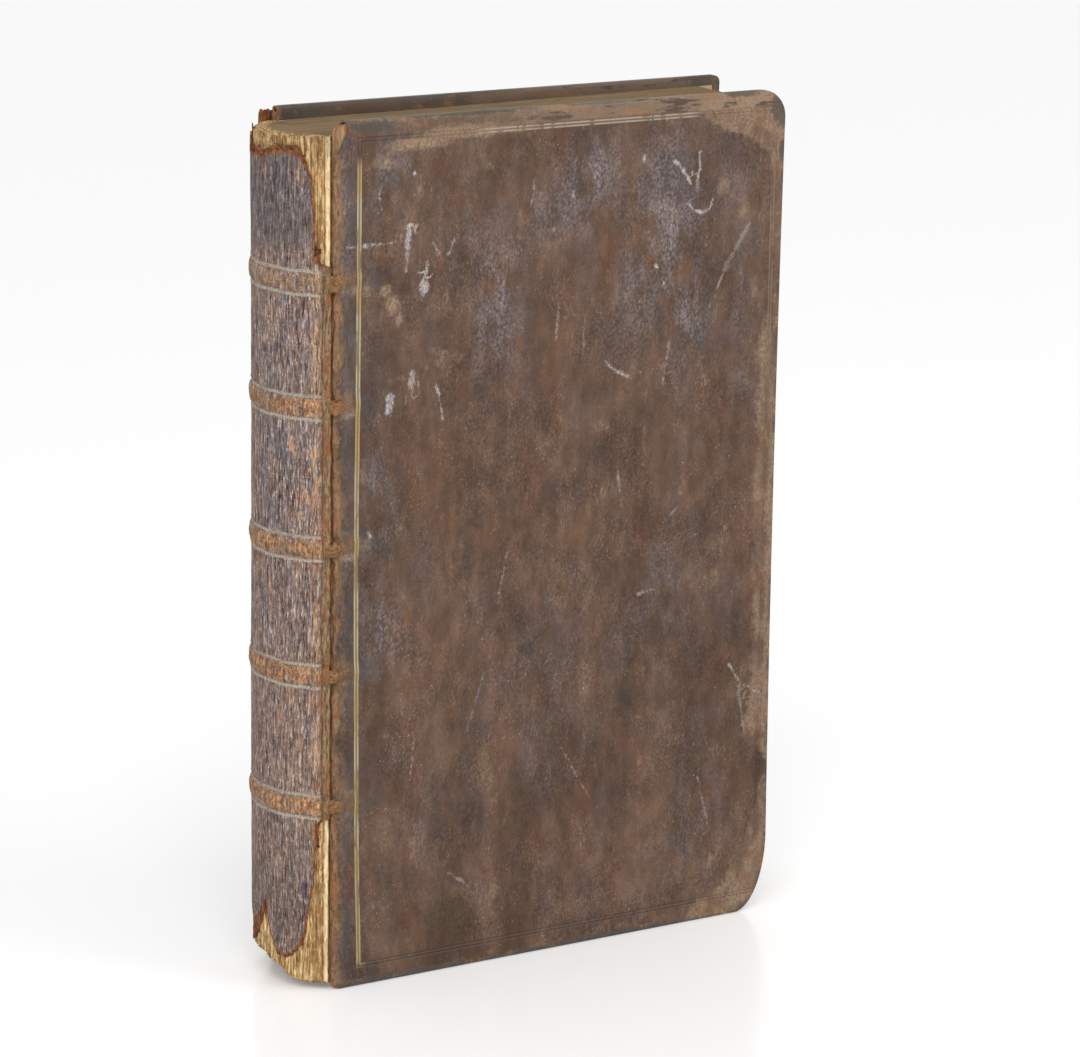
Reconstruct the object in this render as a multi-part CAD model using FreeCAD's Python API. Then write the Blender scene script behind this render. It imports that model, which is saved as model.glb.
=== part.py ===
import FreeCAD, Part
import math
import os

# A tall old book in full leather, standing on the tail edges of its two covers.
# X runs from the spine (negative) to the fore-edge, Y from the front cover to the rear cover, Z up.
# The origin is in the middle of the closed book's footprint, on the surface that it stands on.
# Shapes are built with the line of the two joints at x = 0 and are moved to the origin when written.

V = FreeCAD.Vector

# Overall sizes
COVER_H = 340.0          # covers, tail to head
COVER_W = 205.5          # covers, joint to fore-edge
BOOK_T = 51.6            # closed book, over both covers

# Covers: pasteboard, wrapped in leather whose margins are turned in
LEATHER_T = 0.9
BOARD_T = 3.2
TURN_IN_T = 0.7
TURN_IN_W = 15.0
PASTEDOWN_T = 0.3
WRAP_GAP = 0.1           # between a board's edge and the leather around it
HEAD_CORNER_R = 11.0     # fore-edge corner at the head of the front cover
REAR_CORNER_R = 3.0      # and of the rear cover, which is less rubbed
TAIL_CORNER_W = 15.0     # fore-edge corner at the tail, rubbed long and soft
TAIL_CORNER_H = 32.0
FORE_EDGE_DIP = 0.9      # the handled fore-edge is rubbed hollow by this much
CORNER_LOSS_W = 4.6      # leather lost at the head of the front joint
CORNER_LOSS_H = 12.5
REAR_LOSS_SHARE = 0.25   # the rear joint has lost less
BOARD_CORNER_R = 3.5     # the bare board there is rubbed round

# Double fillet tooled round each cover
FILLET_LINE_W = 0.5
FILLET_DEPTH = 0.25
FILLET_PITCH = 1.9
FILLET_FROM_JOINT = 9.6
FILLET_FROM_HEAD = 6.2
FILLET_FROM_FORE = 4.2
FILLET_FROM_TAIL = 7.2

# Rounded and backed spine
SPINE_ROUND = 17.8       # how far the spine leather bulges behind the joints
JOINT_GAP = 0.35         # between what stays with the spine and what turns with a cover
FLUSH_GAP = 0.3          # the spine stays this far inside the covers' outer faces
SHOULDER_SET = 0.6       # the spine's curve ends this far inside the outer faces
GLUE_GAP = 0.2           # between the leather and the folds under it

# Raised bands, as shares of the height where the sections were sewn, tail to head
BAND_SHARES = (0.2215, 0.375, 0.522, 0.6832, 0.823)
BAND_ROOM = 1.1          # beside the cords, under the leather
BAND_CROWN_GAP = 0.3     # over the cords, under the leather
BAND_SIDE = 0.25
BAND_SKIN_T = 0.8        # leather over the crown of a band
BAND_CHORDS = 6          # flats that make up a band's round, outside and inside
BAND_HOLLOW_CHORDS = 4
BAND_TOOL_W = 0.8        # fine groove tooled along both sides of a band
BAND_TOOL_DEPTH = 0.25
BAND_TOOL_SET = 0.5
CORD_D = 2.2             # each band hides a pair of cords
CORD_SIDES = 6           # waxed cord, pressed flat on its sides
CORD_FLATS = 16          # straight runs that make up a cord's arc
CORD_GAP = 0.3
CORD_SINK = 1.4          # the cords lie this deep in the folds
CORD_SEAT = 0.1
CORD_END_ANGLE = 59.0

# Cord ends laced into the covers
SLIP_W = 4.4
SLIP_T = 1.0
SLIP_L = 14.0
SLIP_PEG_D = 2.8
SLIP_PEG_SIDES = 8
SLIP_GAP = 0.1

# Pages
SECTIONS = 24
FOLD_DEPTH = 0.5         # valley between the folds of two sections
FOLD_CHORDS = 4          # flats that make up one fold
COVER_TO_LEAF = 0.3
LEAF_T = 0.2
LEAF_FROM_JOINT = 0.6
FORE_SQUARE = 4.5        # covers stand out beyond the pages
TAIL_SQUARE = 2.6
HEAD_SQUARE_SPINE = 5.6  # the heavy block has sagged, more at the spine
HEAD_SQUARE_FORE = 3.8
FORE_HOLLOW = 8.0
SHOULDER_GAP = 0.45
CORNER_RUB_INSET = 1.2   # the pages' corners are rubbed to this far inside the covers' outline

# Where the leather of the spine is torn: angle round the spine in degrees from its middle,
# front side positive, and height, above the tail or below the head
TAIL_TEAR = ((-70.3, 7.0), (-52.1, 9.0), (-28.9, 11.5), (-12.4, 16.0), (-2.1, 22.0), (2.6, 29.0), (8.2, 33.0),
             (9.6, 36.0), (12.1, 28.0), (16.5, 20.4), (19.6, 16.0), (23.1, 14.1), (31, 12.8), (38.3, 15.4),
             (44.2, 18.6), (47.6, 23.0), (51.1, 35.0), (54.3, 43.4), (55.4, 50.0), (56.9, 58.0))
HEAD_TEAR = ((56, 50.0), (54.5, 40.0), (53.9, 28.0), (53.7, 20.0), (51.6, 15.0), (49.8, 13.0),
             (45.7, 10.4), (39.1, 8.9), (30.4, 9.2), (21, 10.4), (10, 10.6), (-1.2, 12.0),
             (-14.4, 12.6), (-29.5, 14.8), (-46.8, 13.0), (-70.3, 9.0))
BAND_GRIP = 2.2          # leather left on the joint above and below the outermost bands

# Where the folds are rubbed away at the tail of the spine
TAIL_RUB = ((-67.9, 6.0), (-47.9, 10.0), (-28.9, 14.0), (-12.4, 13.3), (4.1, 12.4), (12.4, 11.2), (19.6, 9.3),
            (30, 6.6), (39.4, 5.3), (47.9, 4.9), (63.2, 4.0))
TAIL_RUB_SLOPE = 0.9

# Worked out from the values above
COVER_T = LEATHER_T + BOARD_T + TURN_IN_T
HALF_T = BOOK_T / 2
LEAF_Y = HALF_T - COVER_T - COVER_TO_LEAF
PAGES_Y = LEAF_Y - LEAF_T
CHORD = HALF_T - SHOULDER_SET
SPINE_R = (CHORD ** 2 + SPINE_ROUND ** 2) / (2 * SPINE_ROUND)
AXIS_X = SPINE_R - SPINE_ROUND - JOINT_GAP
SPINE_ANGLE = math.degrees(math.asin(CHORD / SPINE_R))
FOLD_R = SPINE_R - LEATHER_T - GLUE_GAP
FORE_X = COVER_W - FORE_SQUARE
BAND_Z = [COVER_H * share for share in BAND_SHARES]
CORD_R = FOLD_R - CORD_SINK + CORD_SEAT + CORD_D / 2
CORD_PITCH = CORD_D + CORD_GAP
BAND_HOLLOW_W = CORD_PITCH + CORD_D + 2 * BAND_ROOM
BAND_W = BAND_HOLLOW_W + 2 * BAND_SIDE
BAND_HOLLOW_R = CORD_R + CORD_D / 2 + BAND_CROWN_GAP
BAND_RISE = BAND_HOLLOW_R + BAND_SKIN_T - SPINE_R
REACH = JOINT_GAP + SPINE_ROUND + BAND_RISE
ORIGIN_X = (COVER_W - REACH) / 2
FAR = 2 * (COVER_W + BOOK_T)


def line(a, b):
    return Part.makeLine(a, b)


def arc(a, b, c):
    return Part.Arc(a, b, c).toShape()


def soft_corner(start, corner, end):
    """A quarter of an ellipse from start to end, which would meet at corner if it were square."""
    curve = Part.BezierCurve()
    pull = 0.5523
    curve.setPoles([start, start + (corner - start) * pull, end + (corner - end) * pull, end])
    return curve.toShape()


def polygon(points):
    return Part.Face(Part.makePolygon(points + [points[0]]))


def rounded(sides, radius, centre):
    """A regular polygon in the XZ plane, with a corner towards the spine's axis."""
    corners = []
    for i in range(sides):
        turn = 2 * math.pi * i / sides
        corners.append(centre + V(radius * math.cos(turn), 0, radius * math.sin(turn)))
    return Part.makePolygon(corners + [corners[0]])


def on_spine(angle, radius, z=0.0):
    """A point at an angle round the spine, front side positive."""
    turn = math.radians(angle)
    return V(AXIS_X - radius * math.cos(turn), -radius * math.sin(turn), z)


def turned(shape, angle):
    """A copy of a shape, turned round the spine's axis."""
    copy = shape.copy()
    copy.rotate(V(AXIS_X, 0, 0), V(0, 0, 1), angle)
    return copy


def around_spine(face, angle):
    """Turns a face that lies in the XZ plane round the spine, to both sides."""
    return turned(face, -angle).revolve(V(AXIS_X, 0, 0), V(0, 0, 1), 2 * angle)


# Pages

def pages_outline():
    """Outline seen from above: folds, shoulders, sides and the hollow fore-edge."""
    shoulder = math.degrees(math.acos((AXIS_X + SHOULDER_GAP) / FOLD_R))
    step = 2 * shoulder / SECTIONS
    folds = []
    for i in range(SECTIONS * FOLD_CHORDS + 1):
        crown = math.sin(math.pi * (i % FOLD_CHORDS) / FOLD_CHORDS)
        folds.append(on_spine(-shoulder + i * step / FOLD_CHORDS, FOLD_R - FOLD_DEPTH * (1 - crown)))
    front, rear = V(-SHOULDER_GAP, -PAGES_Y), V(-SHOULDER_GAP, PAGES_Y)
    front_fore, rear_fore = V(FORE_X, -PAGES_Y), V(FORE_X, PAGES_Y)
    spine = Part.makePolygon([rear] + folds + [front])
    edges = spine.Edges + [line(front, front_fore), line(rear_fore, rear)]
    edges.append(arc(front_fore, V(FORE_X - FORE_HOLLOW, 0), rear_fore))
    return Part.Face(Part.Wire(Part.__sortEdges__(edges)))


def above_head():
    """Everything above the pages' head, which slopes because the block has sagged."""
    top = COVER_H + HEAD_SQUARE_SPINE
    corners = [V(-REACH, -FAR, COVER_H - HEAD_SQUARE_SPINE), V(FORE_X, -FAR, COVER_H - HEAD_SQUARE_FORE),
               V(FAR, -FAR, COVER_H - HEAD_SQUARE_FORE), V(FAR, -FAR, top), V(-FAR, -FAR, top),
               V(-FAR, -FAR, COVER_H - HEAD_SQUARE_SPINE)]
    return polygon(corners).extrude(V(0, 2 * FAR, 0))


def inside_corners():
    """The room inside the covers' rounded corners."""
    return cover_panel(CORNER_RUB_INSET, -HALF_T, BOOK_T, -2 * REACH)


def tail_rub():
    """The wedge of paper that is rubbed off below the folds, fading out inwards."""
    start_x = -2 * REACH
    points = []
    for angle, height in TAIL_RUB:
        seat = on_spine(angle, FOLD_R)
        points.append(V(start_x, seat.y, height + TAIL_RUB_SLOPE * (seat.x - start_x)))
    first, last = points[0], points[-1]
    points.append(V(start_x, -HALF_T, last.z))
    points.append(V(start_x, -HALF_T, -COVER_H))
    points.append(V(start_x, HALF_T, -COVER_H))
    points.append(V(start_x, HALF_T, first.z))
    run = 3 * REACH
    return polygon(points).extrude(V(run, 0, -run * TAIL_RUB_SLOPE))


def cord_seat(z):
    """The trough that a pair of cords has pressed into the folds."""
    half = CORD_PITCH / 2 + CORD_D / 2 + CORD_SEAT
    inner = FOLD_R - CORD_SINK
    corners = [V(AXIS_X - inner, 0, z - half), V(AXIS_X - FOLD_R - 1, 0, z - half),
               V(AXIS_X - FOLD_R - 1, 0, z + half), V(AXIS_X - inner, 0, z + half)]
    return around_spine(polygon(corners), 90)


def text_block():
    base = pages_outline()
    base.translate(V(0, 0, TAIL_SQUARE))
    block = base.extrude(V(0, 0, COVER_H - TAIL_SQUARE))
    cuts = [above_head(), tail_rub()] + [cord_seat(z) for z in BAND_Z]
    return block.cut(cuts).common(inside_corners())


def flyleaf(side):
    """The free leaf between the pages and a cover. side is -1 at the front and 1 at the rear."""
    leaf = Part.makeBox(FORE_X - LEAF_FROM_JOINT, LEAF_T, COVER_H, V(LEAF_FROM_JOINT, 0, TAIL_SQUARE))
    leaf.translate(V(0, PAGES_Y if side > 0 else -LEAF_Y, 0))
    return leaf.cut(above_head()).common(inside_corners())


# Spine

def sewing_cords(z):
    """The pair of cords under one band, as an arc round the spine each."""
    cords = []
    step = 2 * CORD_END_ANGLE / CORD_FLATS
    for offset in (-CORD_PITCH / 2, CORD_PITCH / 2):
        section = rounded(CORD_SIDES, CORD_D / 2, V(AXIS_X - CORD_R, 0, z + offset))
        rings = [turned(section, i * step - CORD_END_ANGLE) for i in range(CORD_FLATS + 1)]
        cords.append(Part.makeLoft(rings, True, True))
    return Part.makeCompound(cords)


def band_arch(x, z, width, rise, chords):
    """Section of a band, from its tail side to its head side, as half of a flattened ellipse."""
    points = []
    for i in range(chords + 1):
        turn = math.pi * i / chords
        points.append(V(x - rise * math.sin(turn), 0, z - width / 2 * math.cos(turn)))
    return points


def tooled_groove(x, z):
    return [V(x, 0, z), V(x + BAND_TOOL_DEPTH, 0, z + BAND_TOOL_W / 2), V(x, 0, z + BAND_TOOL_W)]


def spine_section():
    """Section of the spine leather: a thin strip that rises over the cords at each band."""
    outer = AXIS_X - SPINE_R
    inner = AXIS_X - SPINE_R + LEATHER_T
    points = [V(outer, 0, 0)]
    for z in BAND_Z:
        points += tooled_groove(outer, z - BAND_W / 2 - BAND_TOOL_SET - BAND_TOOL_W)
        points += band_arch(outer, z, BAND_W, BAND_RISE, BAND_CHORDS)
        points += tooled_groove(outer, z + BAND_W / 2 + BAND_TOOL_SET)
    points += [V(outer, 0, COVER_H), V(inner, 0, COVER_H)]
    for z in reversed(BAND_Z):
        hollow = band_arch(inner, z, BAND_HOLLOW_W, BAND_HOLLOW_R - SPINE_R + LEATHER_T, BAND_HOLLOW_CHORDS)
        points += reversed(hollow)
    points.append(V(inner, 0, 0))
    return polygon(points)


def leather_left():
    """What is left of the spine leather, seen from behind: torn at head, tail and front joint."""
    edge = -HALF_T - BAND_RISE
    points = [(on_spine(a, SPINE_R).y, height) for a, height in TAIL_TEAR]
    lowest = BAND_Z[0] - BAND_W / 2 - BAND_GRIP
    highest = BAND_Z[-1] + BAND_W / 2 + BAND_GRIP
    points += [(points[-1][0], lowest), (edge, lowest + BAND_GRIP), (edge, highest - BAND_GRIP)]
    torn = [(on_spine(a, SPINE_R).y, COVER_H - depth) for a, depth in HEAD_TEAR]
    points.append((torn[0][0], highest))
    points += torn
    points += [(-edge, torn[-1][1]), (-edge, TAIL_TEAR[0][1])]
    outline = polygon([V(-2 * REACH, y, z) for y, z in points])
    return outline.extrude(V(2 * REACH - JOINT_GAP, 0, 0))


def spine_leather():
    skin = around_spine(spine_section(), SPINE_ANGLE)
    flush = BOOK_T - 2 * FLUSH_GAP
    inside = Part.makeBox(FAR, flush, 3 * COVER_H, V(-FAR - JOINT_GAP, -flush / 2, -COVER_H))
    return skin.common(leather_left()).common(inside)


# Covers, built as the front cover

def cover_panel(inset, y, thickness, joint_inset=0.0, head_r=HEAD_CORNER_R):
    """A cover's outline, drawn in from head, tail and fore-edge by inset, as a plate at y."""
    left, right = joint_inset, COVER_W - inset
    low, high = inset, COVER_H - inset
    corner = head_r - inset
    wide, tall = TAIL_CORNER_W - inset, TAIL_CORNER_H - inset
    a, b = V(left, y, low), V(right - wide, y, low)
    c, d = V(right, y, low + tall), V(right, y, high - corner)
    e, f = V(right - corner, y, high), V(left, y, high)
    hollow = V(right - FORE_EDGE_DIP, y, (c.z + d.z) / 2)
    edges = [line(a, b), soft_corner(b, V(right, y, low), c), arc(c, hollow, d),
             soft_corner(d, V(right, y, high), e), line(e, f), line(f, a)]
    return Part.Face(Part.Wire(edges)).extrude(V(0, thickness, 0))


def inner_plate(inset, y, thickness, left):
    """A plate with square corners inside the turned-in margins."""
    return Part.makeBox(COVER_W - inset - left, thickness, COVER_H - 2 * inset, V(left, y, inset))


def corner_loss(width, height):
    """The oval at the head of the joint where the leather has gone."""
    oval = Part.Ellipse(V(0, 0, 0), height, width).toShape()
    oval.rotate(V(0, 0, 0), V(1, 0, 0), 90)
    oval.rotate(V(0, 0, 0), V(0, 1, 0), 90)
    oval.translate(V(0, -FAR, COVER_H))
    return Part.Face(Part.Wire(oval)).extrude(V(0, 2 * FAR, 0))


def fillet_ring(step):
    """One tooled line round the cover. step 0 is the outer one."""
    inset = step * FILLET_PITCH

    def plate(extra):
        left = FILLET_FROM_JOINT + inset + extra
        right = COVER_W - FILLET_FROM_FORE - inset - extra
        low = FILLET_FROM_TAIL + inset + extra
        high = COVER_H - FILLET_FROM_HEAD - inset - extra
        return Part.makeBox(right - left, FILLET_DEPTH, high - low, V(left, -HALF_T, low))

    return plate(0).cut(plate(FILLET_LINE_W))


def cover_leather(head_r, loss):
    """Leather over the outer face and three edges, with its margins turned in."""
    y = -HALF_T
    skin = cover_panel(0, y, COVER_T, head_r=head_r)
    pocket = cover_panel(LEATHER_T, y + LEATHER_T, BOARD_T, -1, head_r)
    window = inner_plate(TURN_IN_W, y + LEATHER_T + BOARD_T, TURN_IN_T, -1)
    cuts = [pocket, window, corner_loss(CORNER_LOSS_W * loss, CORNER_LOSS_H * loss)]
    return skin.cut(cuts + [fillet_ring(step) for step in (0, 1)])


def board(head_r, corner_r):
    """Pasteboard with channels and holes for the laced cord ends."""
    y = -HALF_T + LEATHER_T
    plate = cover_panel(LEATHER_T + WRAP_GAP, y, BOARD_T, head_r=head_r)
    top = COVER_H - LEATHER_T - WRAP_GAP
    bite = Part.makeBox(corner_r, BOARD_T, corner_r, V(0, y, top - corner_r))
    bite = bite.cut(Part.makeCylinder(corner_r, BOARD_T, V(corner_r, y, top - corner_r), V(0, 1, 0)))
    return plate.cut([bite] + [slip(z, SLIP_GAP) for z in BAND_Z])


def slip(z, gap):
    """One cord end: laid flat in its channel, then taken through the board. gap widens it."""
    y = -HALF_T + LEATHER_T
    half = SLIP_W / 2 + gap
    strap = Part.makeBox(SLIP_L + gap + 1, SLIP_T + gap, 2 * half, V(-1 if gap else 0, y, z - half))
    if not gap:
        strap = Part.makeBox(SLIP_L, SLIP_T, 2 * half, V(0, y, z - half))
    peg = rounded(SLIP_PEG_SIDES, SLIP_PEG_D / 2 + gap, V(SLIP_L - SLIP_W / 2, y, z))
    return strap.fuse(Part.Face(peg).extrude(V(0, BOARD_T, 0)))


def pastedown():
    return inner_plate(TURN_IN_W + WRAP_GAP, -HALF_T + LEATHER_T + BOARD_T, PASTEDOWN_T, LEAF_FROM_JOINT)


def write(name, shape, rear=False):
    placed = shape.mirror(V(0, 0, 0), V(0, 1, 0)) if rear else shape.copy()
    placed.translate(V(-ORIGIN_X, 0, 0))
    placed.exportStep("parts/%s.step" % name)


def main():
    os.makedirs("parts", exist_ok=True)
    write("text_block", text_block())
    write("front_flyleaf", flyleaf(-1))
    write("rear_flyleaf", flyleaf(1))
    write("spine_leather", spine_leather())
    for number, z in enumerate(BAND_Z, start=1):
        write("sewing_cord_%d" % number, sewing_cords(z))
    for cover, rear, head_r, loss in (("front", False, HEAD_CORNER_R, 1.0),
                                      ("rear", True, REAR_CORNER_R, REAR_LOSS_SHARE)):
        write(cover + "_cover_leather", cover_leather(head_r, loss), rear)
        write(cover + "_board", board(head_r, BOARD_CORNER_R), rear)
        write(cover + "_cord_slips", Part.makeCompound([slip(z, 0.0) for z in BAND_Z]), rear)
        write(cover + "_pastedown", pastedown(), rear)


main()
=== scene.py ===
import bpy
import math
import numpy as np
from mathutils import Matrix


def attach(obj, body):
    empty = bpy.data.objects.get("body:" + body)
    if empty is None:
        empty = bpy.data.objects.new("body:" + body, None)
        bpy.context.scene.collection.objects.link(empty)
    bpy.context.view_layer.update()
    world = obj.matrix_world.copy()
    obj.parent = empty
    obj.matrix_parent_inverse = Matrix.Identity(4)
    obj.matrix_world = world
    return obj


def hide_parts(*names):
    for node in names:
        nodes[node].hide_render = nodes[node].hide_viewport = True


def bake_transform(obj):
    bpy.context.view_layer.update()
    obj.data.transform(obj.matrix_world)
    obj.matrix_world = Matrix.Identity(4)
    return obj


# A tall old book in full leather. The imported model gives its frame. Shapes are worked out here in
# millimetres with the line of the two joints at x = 0, and are moved into the frame by ORIGIN_X.

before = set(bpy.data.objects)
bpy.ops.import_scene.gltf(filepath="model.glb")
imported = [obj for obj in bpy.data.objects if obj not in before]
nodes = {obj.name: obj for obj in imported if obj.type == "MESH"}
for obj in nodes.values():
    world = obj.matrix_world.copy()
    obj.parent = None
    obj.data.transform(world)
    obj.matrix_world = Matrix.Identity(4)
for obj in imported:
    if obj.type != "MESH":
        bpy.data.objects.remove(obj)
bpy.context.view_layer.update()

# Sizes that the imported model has, in millimetres
ORIGIN_X = 93.225
HEIGHT = 340.0
WIDTH = 205.5
HALF_T = 25.8
LEATHER_T = 0.9
SPINE_R = 26.74
FOLD_R = 25.64
AXIS_X = 8.59
BANDS = (75.31, 127.5, 177.48, 232.29, 279.82)
BAND_HALF = 3.7
BAND_RISE = 0.9
FORE_X = 201
PAGES_Y = 20.5
TAIL_Z = 2.6
HEAD_R, REAR_HEAD_R = 11, 3

# Torn outline of the spine leather: angle round the spine, front side positive, and height
TAIL_TEAR = (
    (-70.3, 7), (-52.1, 10), (-28.9, 13.8), (-12.4, 17), (-2.1, 22), (2.6, 29), (8.2, 33), (9.6, 36),
    (12.1, 28), (16.5, 20.4), (19.6, 16), (23.1, 14.1), (31, 12.8), (38.3, 15.4), (44.2, 18.6), (47.6, 23),
    (51.1, 35), (54.3, 43.4), (55.4, 50), (56.9, 58),
)
HEAD_TEAR = (
    (-70.3, 338.4), (-66, 339), (-61, 338.2), (-57.5, 339.2), (-55.6, 337), (-54.5, 331), (-46.8, 327),
    (-35.6, 325.6), (-34.2, 331.6), (-33, 333.4), (-31.4, 331), (-30.2, 325.4), (-22, 326.2),
    (-14.4, 325.6), (-6, 326.8), (3, 325.8), (10, 327.4), (21, 328.6), (30.4, 329.6), (37, 329.4),
    (43, 327.4), (47.5, 324.4), (50.6, 320.6), (52.6, 315), (53.4, 308), (54.5, 300), (56, 290),
)
TAIL_RUB = (
    (-67.9, 6), (-47.9, 10), (-28.9, 14), (-12.4, 13.3), (4.1, 12.4), (12.4, 11.2), (19.6, 9.3), (30, 6.6),
    (39.4, 5.3), (47.9, 4.9), (63.2, 4),
)
TAIL_RUB_SLOPE = 0.9


# Helpers for shapes

def smooth(low, high, value):
    t = np.clip((np.asarray(value, float) - low) / (high - low), 0, 1)
    return t * t * (3 - 2 * t)


def field(a, b, size_a, size_b, seed):
    """Smooth noise from -1 to 1 over two coordinates."""
    table = np.random.default_rng(seed).uniform(-1, 1, (97, 89))
    a, b = np.broadcast_arrays(np.asarray(a, float) / size_a + 31.7, np.asarray(b, float) / size_b + 17.3)
    i, j = np.floor(a).astype(int), np.floor(b).astype(int)
    u, v = smooth(0, 1, a - i), smooth(0, 1, b - j)
    i0, i1, j0, j1 = i % 97, (i + 1) % 97, j % 89, (j + 1) % 89
    low = table[i0, j0] * (1 - u) + table[i1, j0] * u
    high = table[i0, j1] * (1 - u) + table[i1, j1] * u
    return low * (1 - v) + high * v


def inside(px, pz, outline):
    """Signed distance to a closed outline, positive inside."""
    pts = np.array(outline, float)
    nxt = np.roll(pts, -1, axis=0)
    best = np.full(px.shape, 1e9)
    within = np.zeros(px.shape, bool)
    for (ax, az), (bx, bz) in zip(pts, nxt):
        dx, dz = bx - ax, bz - az
        t = np.clip(((px - ax) * dx + (pz - az) * dz) / (dx * dx + dz * dz), 0, 1)
        best = np.minimum(best, np.hypot(px - ax - t * dx, pz - az - t * dz))
        crosses = (az > pz) != (bz > pz)
        where = ax + (pz - az) * dx / (dz if dz else 1e-9)
        within ^= crosses & (px < where)
    return np.where(within, best, -best)


def spaced(stops):
    """Grid lines from stops of (position, spacing up to the next stop)."""
    lines = []
    for (start, step), (end, _) in zip(stops, stops[1:]):
        count = max(1, int(round((end - start) / step)))
        lines += list(start + (end - start) * np.arange(count) / count)
    return np.array(lines + [stops[-1][0]])


def mesh_object(name, points, faces, values=None):
    """A smooth mesh from points in millimetres from the joint line. values are point attributes."""
    points = (np.asarray(points, float) - (ORIGIN_X, 0, 0)) * 0.001
    mesh = bpy.data.meshes.new(name)
    mesh.from_pydata(points.tolist(), [], faces)
    for key, data in (values or {}).items():
        mesh.attributes.new(key, "FLOAT", "POINT").data.foreach_set("value", np.asarray(data, np.float32))
    mesh.shade_smooth()
    mesh.update()
    piece = bpy.data.objects.new(name, mesh)
    bpy.context.scene.collection.objects.link(piece)
    return piece


def grid_faces(rows, columns, flip=False):
    faces = []
    for r in range(rows - 1):
        for c in range(columns - 1):
            a = r * columns + c
            quad = (a, a + 1, a + columns + 1, a + columns)
            faces.append(quad[::-1] if flip else quad)
    return faces


def thicken(piece, amount, offset):
    """Makes a sheet's thickness, in millimetres, part of its mesh."""
    solid = piece.modifiers.new("thickness", "SOLIDIFY")
    solid.thickness, solid.offset = amount * 0.001, offset
    solid.use_rim = True
    bpy.context.view_layer.update()
    done = bpy.data.meshes.new_from_object(piece.evaluated_get(bpy.context.evaluated_depsgraph_get()))
    piece.modifiers.clear()
    piece.data = done


def shell(name, counts, place, values=None):
    """The skin of a block that counts divides. place turns shares u, v, w into a point."""
    nu, nv, nw = counts
    index, faces = {}, []

    def quad(flip, *corners):
        around = [index.setdefault(corner, len(index)) for corner in corners]
        faces.append(around[::-1] if flip else around)

    for i in range(nu):
        for j in range(nv):
            for k, flip in ((0, True), (nw, False)):
                quad(flip, (i, j, k), (i + 1, j, k), (i + 1, j + 1, k), (i, j + 1, k))
    for i in range(nu):
        for k in range(nw):
            for j, flip in ((0, False), (nv, True)):
                quad(flip, (i, j, k), (i + 1, j, k), (i + 1, j, k + 1), (i, j, k + 1))
    for j in range(nv):
        for k in range(nw):
            for i, flip in ((0, True), (nu, False)):
                quad(flip, (i, j, k), (i, j + 1, k), (i, j + 1, k + 1), (i, j, k + 1))
    u, v, w = (np.array(list(index), float) / counts).T
    return mesh_object(name, np.stack(place(u, v, w), axis=1), faces, values(u, v) if values else None)


# Helpers for materials

def colour(red, green, blue):
    """A colour given as it looks on a screen, 0 to 255, as a linear colour."""
    channels = [c / 255 for c in (red, green, blue)]
    return [c / 12.92 if c <= 0.04045 else ((c + 0.055) / 1.055) ** 2.4 for c in channels] + [1.0]


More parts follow.
